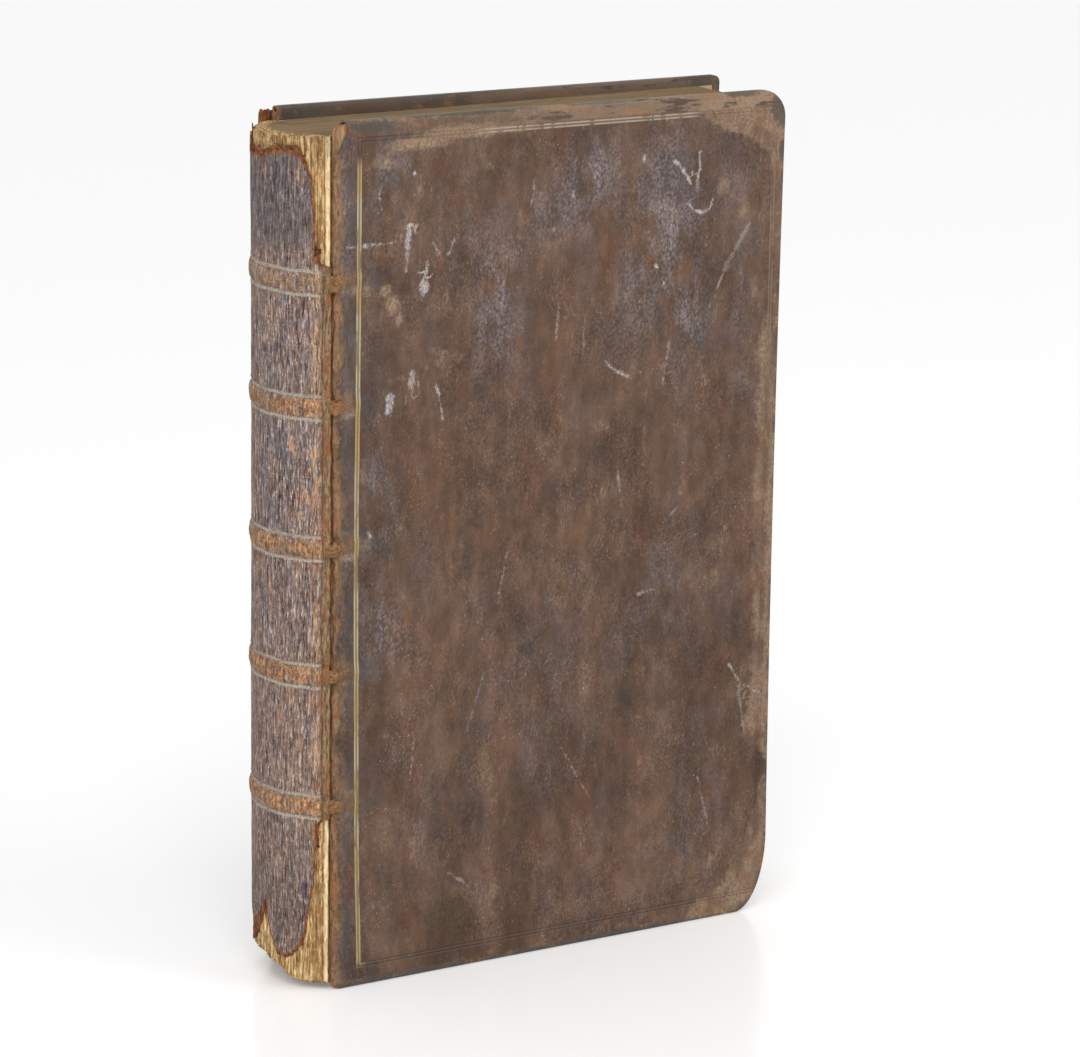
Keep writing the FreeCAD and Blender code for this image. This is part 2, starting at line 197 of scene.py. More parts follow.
class Finish:
    """A material whose nodes are made one after the other."""

    def __init__(self, name, roughness=0.7, specular=0.35):
        self.material = bpy.data.materials.new(name)
        self.material.use_nodes = True
        self.nodes, self.links = self.material.node_tree.nodes, self.material.node_tree.links
        self.shader = self.nodes["Principled BSDF"]
        self.shader.inputs["Roughness"].default_value = roughness
        self.shader.inputs["Specular IOR Level"].default_value = specular
        self.scaled = {}

    def put(self, socket, value):
        if isinstance(value, bpy.types.NodeSocket):
            self.links.new(value, socket)
        else:
            socket.default_value = value

    def value(self, key):
        node = self.nodes.new("ShaderNodeAttribute")
        node.attribute_name = key
        return node.outputs["Fac"]

    def place(self, across=1.0, depth=1.0, up=1.0, turn=0.0):
        """Coordinates on the piece in millimetres, stretched by shares and turned in its face."""
        key = (across, depth, up, turn)
        if key not in self.scaled:
            coordinates = self.nodes.new("ShaderNodeTexCoord")
            mapping = self.nodes.new("ShaderNodeMapping")
            mapping.vector_type = "TEXTURE"
            mapping.inputs["Scale"].default_value = (0.001 / across, 0.001 / depth, 0.001 / up)
            mapping.inputs["Rotation"].default_value = (0, turn, 0)
            self.links.new(coordinates.outputs["Object"], mapping.inputs["Vector"])
            self.scaled[key] = mapping.outputs["Vector"]
        return self.scaled[key]

    def up(self):
        """Height on the piece in millimetres."""
        node = self.nodes.new("ShaderNodeSeparateXYZ")
        self.links.new(self.place(), node.inputs[0])
        return node.outputs[2]

    def noise(self, size, where=None, detail=3, rough=0.55):
        node = self.nodes.new("ShaderNodeTexNoise")
        self.links.new(where or self.place(), node.inputs["Vector"])
        node.inputs["Scale"].default_value = 1.0 / size
        node.inputs["Detail"].default_value = detail
        node.inputs["Roughness"].default_value = rough
        return node.outputs["Fac"]

    def cells(self, size, where):
        node = self.nodes.new("ShaderNodeTexVoronoi")
        self.links.new(where, node.inputs["Vector"])
        node.inputs["Scale"].default_value = 1.0 / size
        return node.outputs["Distance"]

    def math(self, kind, a, b=0):
        node = self.nodes.new("ShaderNodeMath")
        node.operation = kind
        self.put(node.inputs[0], a)
        self.put(node.inputs[1], b)
        return node.outputs[0]

    def step(self, value, low, high, start=0.0, end=1.0):
        """Goes smoothly from start to end as value goes from low to high."""
        node = self.nodes.new("ShaderNodeMapRange")
        node.interpolation_type = "SMOOTHSTEP"
        for socket, part in zip(node.inputs, (value, low, high, start, end)):
            self.put(socket, part)
        return node.outputs[0]

    def fall(self, value, low, high):
        return self.step(value, low, high, 1, 0)

    def spots(self, bounds, *noise):
        """Noise that goes from 0 to 1, or between the last two bounds, as it passes the first two."""
        return self.step(self.noise(*noise), *bounds)

    def mix(self, share, a, b):
        """Colours may be given as they look on a screen, 0 to 255."""
        node = self.nodes.new("ShaderNodeMix")
        node.data_type = "RGBA"
        self.put(node.inputs[0], share)
        self.put(node.inputs[6], colour(*a) if isinstance(a, tuple) else a)
        self.put(node.inputs[7], colour(*b) if isinstance(b, tuple) else b)
        return node.outputs[2]

    def lay(self, share, paint):
        """Lays a colour over what the material has so far."""
        self.tint = self.mix(share, self.tint, paint)

    def dim(self, tint, level):
        """The colour, made lighter or darker."""
        node = self.nodes.new("ShaderNodeVectorMath")
        node.operation = "SCALE"
        self.put(node.inputs[0], tint)
        self.put(node.inputs["Scale"], level)
        return node.outputs[0]

    def times(self, *shares):
        result = shares[0]
        for share in shares[1:]:
            result = self.math("MULTIPLY", result, share)
        return result

    def plus(self, *parts):
        result = parts[0]
        for part in parts[1:]:
            result = self.math("ADD", result, part)
        return result

    def off(self, value, middle):
        return self.math("ABSOLUTE", self.math("SUBTRACT", value, middle))

    def finish(self, height, depth, roughness=None):
        """depth is how far, in millimetres, a height of 1 stands out."""
        self.put(self.shader.inputs["Base Color"], self.tint)
        if roughness:
            self.put(self.shader.inputs["Roughness"], roughness)
        bump = self.nodes.new("ShaderNodeBump")
        bump.inputs["Strength"].default_value = 1
        bump.inputs["Distance"].default_value = depth * 0.001
        self.put(bump.inputs["Height"], height)
        self.put(self.shader.inputs["Normal"], bump.outputs["Normal"])
        return self.material


# Leather of the covers

# Width and height of the long round corner at the tail, and how far the leather is turned in
TAIL_W, TAIL_H = 15, 32
TURN_IN = 15


def right_edge(z, head_r=HEAD_R):
    """The fore-edge of a cover: rubbed hollow, with a round corner at head and tail."""
    z = np.asarray(z, float)
    start = HEIGHT - head_r
    hollow = WIDTH - 0.9 * (1 - ((z - 180.5) / (start - 180.5)) ** 2)
    tail = WIDTH - TAIL_W + TAIL_W * np.sqrt(np.clip(1 - ((TAIL_H - z) / TAIL_H) ** 2, 0, 1))
    head = WIDTH - head_r + head_r * np.sqrt(np.clip(1 - ((z - start) / head_r) ** 2, 0, 1))
    return np.where(z < TAIL_H, tail, np.where(z > start, head, hollow))


def left_edge(z, loss_w, loss_h):
    """The joint edge of the leather, which is lost in an oval at the head."""
    return loss_w * np.sqrt(np.clip(1 - ((HEIGHT - np.asarray(z, float)) / loss_h) ** 2, 0, 1))


def edge_distance(x, z, head_r):
    """How far a point is inside the head, tail and fore-edge."""
    d = np.minimum(np.minimum(z, HEIGHT - z), right_edge(z, head_r) - x)
    round_head = head_r - np.hypot(x - (WIDTH - head_r), z - (HEIGHT - head_r))
    d = np.where((x > WIDTH - head_r) & (z > HEIGHT - head_r), round_head, d)
    a, b = (x - (WIDTH - TAIL_W)) / TAIL_W, (TAIL_H - z) / TAIL_H
    f = np.hypot(a, b) + 1e-9
    round_tail = (1 - f) * f / (np.hypot(a / TAIL_W, b / TAIL_H) + 1e-9)
    return np.where((x > WIDTH - TAIL_W) & (z < TAIL_H), round_tail, d)


EDGE_R = 1.6
JOINT_ROUND = 3.2
WORN_OUTLINES = (
    (
        (163.7, 333.1), (171, 327.9), (175.8, 325.6), (183, 323.6), (188.8, 321.2), (193.8, 317.7),
        (197.7, 315), (199.6, 308), (200.6, 280), (201, 243.5), (196.4, 226), (194.2, 213), (195.6, 196),
        (194.5, 173.5), (196.2, 160), (194.2, 149.4), (195.5, 123.8), (195.2, 100), (192.9, 79),
        (197.2, 71.6), (203, 66), (220, 60), (220, 350), (163.7, 350),
    ),
    (
        (203, 58), (199.5, 46), (195.8, 35.8), (189.6, 26.9), (186.3, 18.4), (180.1, 10.8), (171.2, 8.9),
        (166, 4), (160, -8), (220, -8), (220, 58),
    ),
    (
        (14, 321), (22, 325), (34, 329), (48, 331), (62, 331.5), (72, 333), (70, 335.5), (58, 336),
        (44, 335), (30, 332), (18, 327),
    ),
    (
        (-6, -6), (6, -6), (7.5, 1.5), (5, 4.5), (2.2, 12), (1.2, 22), (-6, 30),
    ),
)
# Pale marks scraped into the front cover: start, end, half width, strength
MARKS = (
    (34, 318.8, 35, 317.8, 1, 1), (19.3, 313.6, 19.3, 309.4, 0.35, 0.9), (20, 308, 20.4, 305, 0.2, 0.5),
    (5, 292.6, 9, 292.3, 0.5, 0.6), (12, 292.4, 18, 292.9, 0.55, 0.9), (19.5, 292.6, 27, 293, 0.35, 0.7),
    (32.9, 299, 31.6, 289.6, 1.5, 1), (31.9, 290, 31.3, 280.8, 0.45, 0.8),
    (33.4, 299.6, 36, 298.6, 0.4, 0.5), (39.2, 276.2, 39.5, 272.6, 2.2, 1),
    (39.4, 277, 40.6, 285.4, 0.35, 0.9), (42.6, 291.8, 45.7, 286.9, 0.5, 0.7),
    (49.7, 285.8, 52.8, 292.9, 0.35, 0.8), (33.8, 242.4, 33.4, 236.8, 1.3, 0.8),
    (33.6, 237.5, 34.5, 231.4, 0.5, 0.7), (36.4, 241.5, 37.6, 230.5, 0.25, 0.6),
    (24.6, 234, 23.6, 227.6, 1.9, 1), (44.7, 237, 46.6, 229.5, 0.6, 0.9),
    (46.6, 229.5, 48, 222.4, 0.45, 0.9), (87.4, 313.4, 87.9, 308.3, 0.5, 0.7),
    (87.9, 308.3, 86.5, 302.4, 0.3, 0.6), (97.3, 294.2, 97.1, 291.8, 0.7, 0.7),
    (105.7, 307, 105.5, 303.6, 0.8, 0.7), (138.6, 318.4, 138, 315.8, 1.1, 0.9),
    (152.6, 315.4, 156.7, 311.2, 0.9, 0.9), (156.7, 311.2, 160.4, 305.6, 0.9, 0.9),
    (164.1, 318.2, 164.7, 312.6, 0.4, 0.9), (164.7, 312.6, 163.4, 302.4, 0.4, 0.9),
    (158.2, 298.6, 161.9, 295, 0.6, 1), (161.9, 295, 165.9, 293.3, 0.7, 1),
    (165.9, 293.3, 169.9, 294.8, 0.5, 0.9), (169.9, 294.8, 171, 299.6, 0.5, 0.7),
    (189.2, 287.6, 183.4, 279.3, 1, 0.4), (183.4, 279.3, 177.4, 269.8, 1.1, 0.3),
    (177.4, 269.8, 170.4, 255, 0.3, 0.5), (144.6, 275.2, 145.6, 273, 0.9, 1),
    (147.6, 269, 149.4, 264.8, 0.45, 0.9), (124, 235.8, 129.5, 232.4, 0.45, 0.8),
    (129.5, 232.4, 133, 231, 0.7, 0.8), (121.5, 238.8, 124, 235.8, 0.3, 0.6),
    (15.2, 182, 16.2, 179.6, 0.7, 0.8), (183.7, 107.3, 189.4, 98.9, 0.5, 0.7),
    (189.4, 98.9, 199.5, 92.9, 0.45, 0.6), (189, 98, 193, 77, 0.8, 0.4), (100, 262, 98.6, 248, 0.25, 0.5),
    (112, 258, 111, 240, 0.25, 0.5), (134, 231.8, 152, 233.6, 0.2, 0.5), (63, 262, 64.4, 249, 0.3, 0.4),
    (75, 276, 73.5, 262, 0.3, 0.4), (152, 245, 149, 226, 0.4, 0.5), (139, 142, 147, 143, 0.7, 0.55),
    (60, 96, 68, 120, 0.3, 0.45), (118, 60, 104, 84, 0.3, 0.45), (150, 170, 158, 176, 0.3, 0.5),
    (78, 168, 74, 150, 0.35, 0.45), (170, 62, 176, 40, 0.35, 0.5), (36, 96, 34.5, 80, 0.3, 0.5),
    (52, 40, 60, 34, 0.4, 0.5), (128, 196, 131, 178, 0.3, 0.45),
)
# Dull bluish bloom on the front cover: centre, half width, half height, strength
BLOOMS = (
    (114, 311, 14, 15, 1), (97, 298, 10, 12, 0.8), (150, 292, 16, 32, 1), (160, 256, 11, 24, 0.9),
    (140, 268, 14, 22, 0.7), (73, 264, 10, 25, 0.95), (22, 318, 14, 16, 0.6), (60, 300, 18, 18, 0.35),
    (184, 262, 9, 20, 0.5), (18, 196, 9, 22, 0.8), (20, 147, 11, 15, 0.9), (190, 225, 8, 26, 0.35),
    (150, 140, 20, 30, 0.3), (90, 110, 26, 30, 0.25), (40, 60, 18, 26, 0.3), (168, 40, 12, 22, 0.4),
    (4, 300, 5, 40, 0.6), (178, 306, 10, 14, 0.4),
)


# Tan, rubbed fibres on the front cover, in the same way
TAN = (
    (22, 275, 3.5, 2.5, 0.75), (25, 269, 3.2, 4, 0.8), (28, 263, 1.8, 3, 0.7), (11, 276, 5, 3, 0.5),
    (50, 247, 9, 4, 0.35), (58, 333, 24, 2.6, 0.85), (38, 330, 14, 3, 0.75), (22, 323, 5, 3, 0.5),
    (176, 303, 3, 5, 0.5), (28, 240, 6, 3, 0.3), (68, 318, 4, 3, 0.3), (198, 236, 5, 16, 0.5),
    (196, 180, 3, 16, 0.4), (12, 205, 4, 6, 0.4), (14, 178, 5, 5, 0.4), (186, 292, 3, 4, 0.5),
    (192, 262, 3, 8, 0.35), (120, 212, 7, 4, 0.3), (96, 286, 4, 4, 0.25), (16, 30, 6, 10, 0.3),
)
# Dark dirt on the front cover, in the same way
GRIME = (
    (204, 334, 7, 9, 1), (184, 340, 10, 2.2, 0.9), (16, 337.5, 12, 2.6, 0.9), (60, 340.5, 40, 2, 0.8),
    (118, 340.5, 30, 1.6, 0.7), (204, 316, 2, 6, 0.8), (206, 250, 1.6, 30, 0.5), (3, 330, 4, 5, 0.5),
    (196, 3, 9, 4, 0.6), (120, 1, 60, 2.2, 0.8), (30, 1, 40, 2.5, 0.9), (206, 120, 1.8, 40, 0.5),
)


def bloom_share(x, z, spots):
    share = np.zeros(np.shape(x))
    for cx, cz, wide, tall, strength in spots:
        share = np.maximum(share, strength * np.exp(-((x - cx) / wide) ** 2 - ((z - cz) / tall) ** 2))
    return share


def nearest_mark(x, z):
    """For each point, where it lies from the nearest mark: off it, along it, its half width and strength."""
    best = np.full(x.shape, 1e9)
    off, along, half, power = (np.zeros(x.shape) for _ in range(4))
    off, along = off + 50, along + 50
    for ax, az, bx, bz, width, strength in MARKS:
        length = math.hypot(bx - ax, bz - az)
        dx, dz = (bx - ax) / length, (bz - az) / length
        t = (x - (ax + bx) / 2) * dx + (z - (az + bz) / 2) * dz
        n = (x - ax) * dz - (z - az) * dx
        over = np.maximum(np.abs(t) - length / 2, 0)
        distance = np.hypot(n, over) - width
        near = distance < best
        best = np.where(near, distance, best)
        off, along = np.where(near, n, off), np.where(near, np.abs(t) - length / 2, along)
        half, power = np.where(near, width, half), np.where(near, strength, power)
    return off, along, half, power * (1 - smooth(1.6, 3.2, best))


LINES = (0.5, 1.85)


def fillet_inset(x, z):
    """How far a point is inside the tooled frame, whose line by the joint wanders a little."""
    wander = 1.1 * (1 - smooth(4, 70, z)) - 0.7 * np.exp(-((z - 170) / 70) ** 2)
    return np.minimum(np.minimum(x - 9.5 - wander, WIDTH - 4.4 - x), np.minimum(z - 7.2, HEIGHT - 6.2 - z))


# Creases by the worn patch of the front cover: start, end, half width, height
DENTS = (
    (183.7, 108, 190, 98.6, 2.4, 0.75), (190, 98.6, 200.5, 92.6, 2.4, 0.6),
    (188.6, 97.5, 192.6, 78, 2.2, -0.5),
)


def cover_relief(x, z, edge, front):
    """How far the leather's face stands out at a point: tooled lines, laced cords and wear."""
    inset = fillet_inset(x, z)
    tooled = np.zeros(x.shape)
    for middle in LINES:
        tooled = np.maximum(tooled, 1 - smooth(0.12, 0.42, np.abs(inset - middle)))
    high = -0.24 * tooled
    for z_band in BANDS:
        ridge = np.exp(-((z - z_band) / 2.6) ** 2)
        high = high + 0.55 * ridge * (1 - smooth(9, 17, x)) * smooth(0.5, 3, x)
    seed = 11 if front else 51
    high = high - 0.32 + 0.16 * field(x, z, 46, 60, seed) + 0.08 * field(x, z, 15, 21, seed + 1)
    high = high + 0.035 * field(x, z, 4.2, 4.2, seed + 2)
    rubbed = 1 - smooth(1, 9, edge)
    high = high + 0.10 * rubbed * field(x, z, 3.1, 6.0, seed + 3)
    torn = 0.28 * field(x, z, 1.3, 3.2, seed + 4) + 0.16 * field(x, z, 0.8, 1.1, seed + 5)
    high = high + (1 - smooth(2.5, 5, x)) * torn
    if front:
        off, along, half, power = nearest_mark(x, z)
        scraped = (1 - smooth(0, 1.2, np.maximum(np.abs(off) - half, along)))
        high = high - 0.07 * power * scraped
        for ax, az, bx, bz, width, lift in DENTS:
            length = math.hypot(bx - ax, bz - az)
            t = np.clip(((x - ax) * (bx - ax) + (z - az) * (bz - az)) / length ** 2, 0, 1)
            away = np.hypot(x - ax - t * (bx - ax), z - az - t * (bz - az))
            high = high + lift * np.exp(-(away / width) ** 2)
    return high


def cover_skin(name, side, front):
    """Leather of a cover: its face, three wrapped edges and turned-in margins. side is -1 at the front."""
    loss_w, loss_h, head_r = (4.6, 12.5, HEAD_R) if front else (1.15, 3.1, REAR_HEAD_R)
    columns = spaced(((0, 0.3), (0.9, 0.5), (3.4, 0.9), (8.6, 0.2), (13.2, 0.6), (14, 2.0), (196, 1.0),
                      (198.6, 0.2), (201.9, 0.5), (203.9, 0.3), (WIDTH, 1.0)))
    rows = spaced(((0, 0.35), (1.7, 1.1), (6.8, 0.2), (10.0, 0.8), (13, 1.9), (327, 1.0), (331.0, 0.2),
                   (334.2, 0.7), (337, 0.45), (338.4, 0.3), (HEIGHT, 1.0)))
    s, z = np.meshgrid(columns, rows)
    x = np.where(s < 9, left_edge(z, loss_w, loss_h) * (1 - s / 9) + s, s)
    x = np.where(s > 150, 150 + (s - 150) / (WIDTH - 150) * (right_edge(z, head_r) - 150), x)
    edge = np.clip(edge_distance(x, z, head_r), 0, None)
    fall = EDGE_R - np.sqrt(np.clip(EDGE_R ** 2 - np.clip(EDGE_R - edge, 0, EDGE_R) ** 2, 0, None))
    turn = 1.5 * np.clip(1 - x / JOINT_ROUND, 0, 1) ** 2
    high = cover_relief(x, z, edge, front) * smooth(0.0, 2.6, edge) - fall - turn
    ragged = 1.5 * np.abs(field(z, 0, 7.0, 1, 7)) + 0.5 * field(z, 0, 2.2, 1, 6)
    ragged = ragged + 0.35 * field(z, 0, 0.9, 1, 8)
    tail_bite = 3.4 * (1 - np.sqrt(np.clip(1 - np.clip(1 - z / 3.4, 0, 1) ** 2, 0, 1)))
    lost = np.clip(ragged, 0, 1.7) * (1 if front else 0.3) + tail_bite
    x = x + np.where(s < 4.5, lost * (1 - s / 4.5), 0)
    y = side * (HALF_T + high)
    points = [np.stack([x, y, z], axis=-1).reshape(-1, 3)]
    edges = [edge.ravel()]
    n_rows, n_columns = x.shape
    flip = side > 0
    faces = grid_faces(n_rows, n_columns, flip)

    ring = list(range(n_columns))
    ring += [r * n_columns + n_columns - 1 for r in range(1, n_rows)]
    ring += [(n_rows - 1) * n_columns + c for c in range(n_columns - 2, -1, -1)]
    rim = points[0][ring]
    corner_x = np.clip(rim[:, 0], None, WIDTH - TURN_IN)
    corner_z = np.clip(rim[:, 2], TURN_IN, HEIGHT - TURN_IN)
    out_x, out_z = rim[:, 0] - corner_x, rim[:, 2] - corner_z
    profile = ((0.0, 23.4, 1.0), (0.0, 22.4, 2.0), (0.0, 21.7, 2.8), (0.02, 21.25, 3.4), (0.07, 21.04, 4.0),
               (0.2, 21.0, 6.0), (0.5, 21.0, 10.0), (0.97, 21.0, 16.0), (1.0, 21.1, 16.5),
               (1.0, 21.68, 17.0))
    last, start = ring, len(points[0])
    wave = field(rim[:, 0] + rim[:, 2], 0, 9, 1, 21)
    for share, depth, along in profile:
        bulge = 0.12 * wave * (share == 0)
        px = rim[:, 0] - share * out_x - bulge * (np.abs(out_x) > 1)
        pz = rim[:, 2] - share * out_z
        trim = 0.5 * field(rim[:, 0] + rim[:, 2], 0, 30, 1, 23) if share >= 0.97 else 0.0
        pz = pz + trim * (np.abs(out_z) > 1)
        px = px + trim * (np.abs(out_x) > 1)
        points.append(np.stack([px, np.full(px.shape, side * depth), pz], axis=1))
        edges.append(np.full(len(ring), -along))
        current = list(range(start, start + len(ring)))
        for a in range(len(ring) - 1):
            quad = (last[a], current[a], current[a + 1], last[a + 1])
            faces.append(quad[::-1] if flip else quad)
        last, start = current, start + len(ring)
    points = np.concatenate(points)
    px, pz = points[:, 0], points[:, 2]
    edges = np.concatenate(edges)
    inset = fillet_inset(px, pz)
    worn = np.full(px.shape, -50.0)
    if front:
        for outline in WORN_OUTLINES:
            worn = np.maximum(worn, inside(px, pz, outline))
    else:
        corners = np.hypot(px - WIDTH, pz - HEIGHT), np.hypot(px - WIDTH, pz)
        worn = np.maximum(worn, 20 - np.minimum(*corners))
        worn = np.maximum(worn, px - 199 + 3 * field(pz, 0, 30, 1, 31))
    worn = np.maximum(worn, 2.6 - np.abs(edges) + 1.5 * field(px + pz, 0, 11, 1, 33) - 1.0)
    joint = px + 1.4 * field(pz, 0, 8, 1, 35)
    for z_band in BANDS:
        joint = np.minimum(joint, px * 0.4 + 0.10 * (pz - z_band) ** 2 + 0.6)
    side_gilt = smooth(6, 12, pz) * (1 - smooth(321, 327, pz)) * (1 - smooth(13, 15, px))
    head_rule = smooth(60, 66, px) * (1 - smooth(160, 166, px)) * smooth(330, 331.5, pz)
    edge_rule = 0.35 * smooth(196, 198, px) * smooth(205, 240, pz) * (1 - smooth(312, 320, pz))
    head_rule = np.maximum(head_rule, edge_rule)
    laced, laced_line = np.zeros(px.shape), np.zeros(px.shape)
    for z_band in BANDS:
        laced = np.maximum(laced, np.exp(-((pz - z_band) / 4.0) ** 4) * (1 - smooth(8.5, 12.0, px)))
        rim_line = np.exp(-((pz - z_band + 4.6) / 0.5) ** 2) + 0.5 * np.exp(-((pz - z_band - 4.6) / 0.5) ** 2)
        laced_line = np.maximum(laced_line, rim_line * smooth(1.5, 4, px) * (1 - smooth(9.0, 10.5, px)))
    bloom_spots = BLOOMS if front else ((60, 260, 30, 40, 0.5), (130, 120, 40, 50, 0.5),
                                        (170, 280, 20, 30, 0.6))
    grime_spots = GRIME if front else ((200, 338, 14, 5, 0.9), (8, 338, 16, 6, 1.0), (70, 341, 60, 3, 0.8))
    by_head = smooth(333.2, 334.6, pz) * smooth(10, 24, px) * (0.35 + 0.65 * smooth(60, 110, px))
    values = {"edge": edges, "worn": worn, "joint": joint, "inset": inset, "by_head": by_head,
              "grime": bloom_share(px, pz, grime_spots), "laced": laced, "laced_line": laced_line,
              "tan": bloom_share(px, pz, TAN if front else ((150, 60, 20, 30, 0.3),
                                                            (30, 300, 10, 20, 0.4))),
              "gilt": side_gilt if front else 0.5 * side_gilt,
              "rule": head_rule if front else 0 * head_rule, "bloom": bloom_share(px, pz, bloom_spots)}
    if front:
        off, along, half, power = nearest_mark(px, pz)
        values.update(mark_off=off, mark_along=along, mark_half=half, mark_power=power)
    piece = mesh_object(name, points, faces, values)
    thicken(piece, LEATHER_T, -1)
    return piece


def cover_finish(name, front):
    f = Finish(name, specular=0.3)
    fine = f.noise(0.55, f.place(1, 1, 0.7), 2)
    pebbles = f.cells(1.2, f.place(1.15, 1, 0.8, 0.3))
    patches = f.noise(30, f.place(1, 1, 0.7), 4, 0.6)
    small = f.noise(7, f.place(1, 1, 0.6), 4, 0.65)
    grained = f.spots((0.44, 0.62), 21, None, 4, 0.6)
    f.tint = f.mix(f.step(patches, 0.4, 0.6), (98, 71, 51), (116, 88, 68))
    reddish = f.noise(13, f.place(1, 1, 0.4), 5, 0.68)
    f.lay(f.times(f.step(reddish, 0.5, 0.62), 0.6), (114, 73, 49))
    violet = f.spots((0.5, 0.62), 18, f.place(1, 1, 0.45), 5, 0.68)
    f.lay(f.times(violet, 0.6), (112, 89, 80))
    darker = f.spots((0.53, 0.66), 23, f.place(0.8, 1, 0.7, 0.3), 5, 0.7)
    f.lay(f.times(darker, 0.6), (78, 58, 48))
    f.lay(f.times(f.step(small, 0.5, 0.66), 0.35), (124, 98, 78))
    f.lay(f.times(f.step(fine, 0.42, 0.66), f.plus(f.times(grained, 0.35), 0.12)), (66, 48, 40))
    specks = f.spots((0.58, 0.7), 0.8, f.place(1.6, 1, 0.5, 0.3), 3, 0.7)
    f.lay(f.times(specks, f.plus(f.times(grained, 0.42), 0.22)), (164, 144, 134))
    bloom = f.times(f.value("bloom"), f.spots((0.38, 0.56), 9, f.place(1, 1, 0.45), 5, 0.7))
    f.lay(f.times(bloom, 0.7), (124, 113, 115))
    # Painted shade: the creases between the grain's pebbles are darkened, most of all in the bloom.
    crease_shade = f.step(f.plus(pebbles, f.times(fine, 0.2)), 0.62, 0.8)
    f.lay(f.times(crease_shade, f.plus(f.times(bloom, 0.5), f.times(grained, 0.12))), (66, 52, 48))
    # Painted highlight: pale glints on the raised tops of the grain's pebbles in the bloom.
    pebble_highlights = f.times(f.fall(pebbles, 0.25, 0.5), f.spots((0.48, 0.64), 1.6, f.place(1.4, 1, 0.6), 3, 0.7))
    f.lay(f.times(bloom, pebble_highlights, 0.6), (172, 164, 166))
    dashes = f.spots((0.54, 0.66), 0.85, f.place(1.8, 1, 0.36, -0.2), 4, 0.72)
    f.lay(f.times(bloom, dashes, 0.6), (166, 160, 164))
    for turn, wanted, seed_size in ((0.08, 0.52, 28), (-0.5, 0.6, 33), (0.9, 0.62, 41)):
        hair = f.spots((0.69, 0.72), 0.8, f.place(2.4, 1, 0.05, turn), 3, 0.5)
        zone = f.spots((wanted, wanted + 0.1), seed_size, None, 2)
        f.lay(f.times(hair, zone, 0.5), (166, 146, 132))
    nicks = f.spots((0.6, 0.65), 0.75, f.place(1.3, 1, 0.55, 0.15), 5, 0.85)
    f.lay(f.times(nicks, f.spots((0.46, 0.58, 0.2, 1), 16, None, 4, 0.7), 0.85), (226, 212, 200))
    scuff = f.times(f.spots((0.57, 0.66), 13, f.place(1, 1, 0.6), 5, 0.7),
                    f.spots((0.46, 0.58), 0.9, f.place(1.3, 1, 0.5), 5, 0.8))
    f.lay(f.times(scuff, 0.7), (158, 130, 104))
    cool = f.times(f.step(f.value("joint"), 2.5, 4.5), f.fall(f.value("joint"), 8, 10.5))
    f.lay(f.times(cool, f.step(small, 0.34, 0.56), 0.5), (88, 84, 88))
    by_joint = f.times(f.fall(f.value("joint"), 3, 7), f.spots((0.46, 0.56), 3, f.place(1, 1, 0.6), 5, 0.8))
    f.lay(f.times(by_joint, 0.7), (142, 116, 88))
    laced = f.times(f.value("laced"), f.step(small, 0.36, 0.52, 0.4, 1))
    f.lay(f.times(laced, 0.85), f.mix(f.step(fine, 0.38, 0.62), (104, 78, 58), (140, 110, 82)))
    laced_line = f.times(f.value("laced_line"), f.spots((0.42, 0.54), 1.8, None, 5, 0.8))
    f.lay(f.times(laced_line, 0.8), (176, 162, 142))
    mottle = f.spots((0.36, 0.64, 0.82, 1.14), 6, f.place(1.2, 1, 0.5), 4, 0.6)
    # The tone is scaled by random mottle and clouds, and by painted highlight and shade on the grain: lighter
    # on the pebbles' tops, darker in the creases between them.
    grain_shading_share = f.plus(f.times(grained, 0.16), f.times(bloom, 0.22), 0.08)
    grain_light_and_shade = f.plus(f.times(f.step(f.plus(pebbles, f.times(fine, 0.25)), 0.45, 0.9, 0.4, -0.6),
                                 grain_shading_share), 1)
    cloudy = f.spots((0.38, 0.62, 0.62, 0.88), 26, f.place(0.8, 1, 0.5), 5, 0.7)
    cloudy = f.math("MAXIMUM", cloudy, f.times(bloom, 0.93))
    f.tint = f.dim(f.tint, f.times(mottle, grain_light_and_shade, cloudy))
    fibres = f.spots((0.44, 0.54), 1.1, f.place(1.2, 1, 0.7, 0.2), 6, 0.82)
    rubbed = f.step(f.plus(f.value("tan"), f.times(f.noise(4, None, 5, 0.75), 0.9)), 0.58, 1.15)
    f.lay(f.times(rubbed, 0.4), (140, 114, 92))
    f.lay(f.times(rubbed, fibres, 0.75), (172, 144, 116))
    dark_edge = f.fall(f.off(f.value("inset"), 1.2), 0.1, 3)
    f.lay(f.times(dark_edge, 0.25), (72, 54, 46))
    tooled = f.math("PINGPONG", f.math("SUBTRACT", f.value("inset"), LINES[0]), (LINES[1] - LINES[0]) / 2)
    on_line = f.times(f.fall(tooled, 0.22, 0.42), f.step(f.value("inset"), LINES[0] - 0.5, LINES[0] - 0.2),
                      f.fall(f.value("inset"), LINES[1] + 0.2, LINES[1] + 0.5))
    worn_gilt = f.spots((0.34, 0.5), 3, f.place(1, 1, 0.25), 4, 0.6)
    between = f.times(f.step(f.value("inset"), LINES[0] - 0.5, LINES[0]),
                      f.fall(f.value("inset"), LINES[1], LINES[1] + 0.5))
    f.lay(f.times(on_line, 0.28), (62, 46, 38))
    f.lay(f.times(between, f.value("gilt"), 0.8), (134, 118, 88))
    gilt_tint = f.mix(f.spots((0.42, 0.58), 26, None, 3), (186, 172, 142), (176, 148, 92))
    f.lay(f.times(on_line, f.value("gilt"), worn_gilt, 0.95), gilt_tint)
    ragged = f.plus(f.value("worn"), f.times(f.math("SUBTRACT", f.noise(3.2, None, 4, 0.7), 0.5), 9))
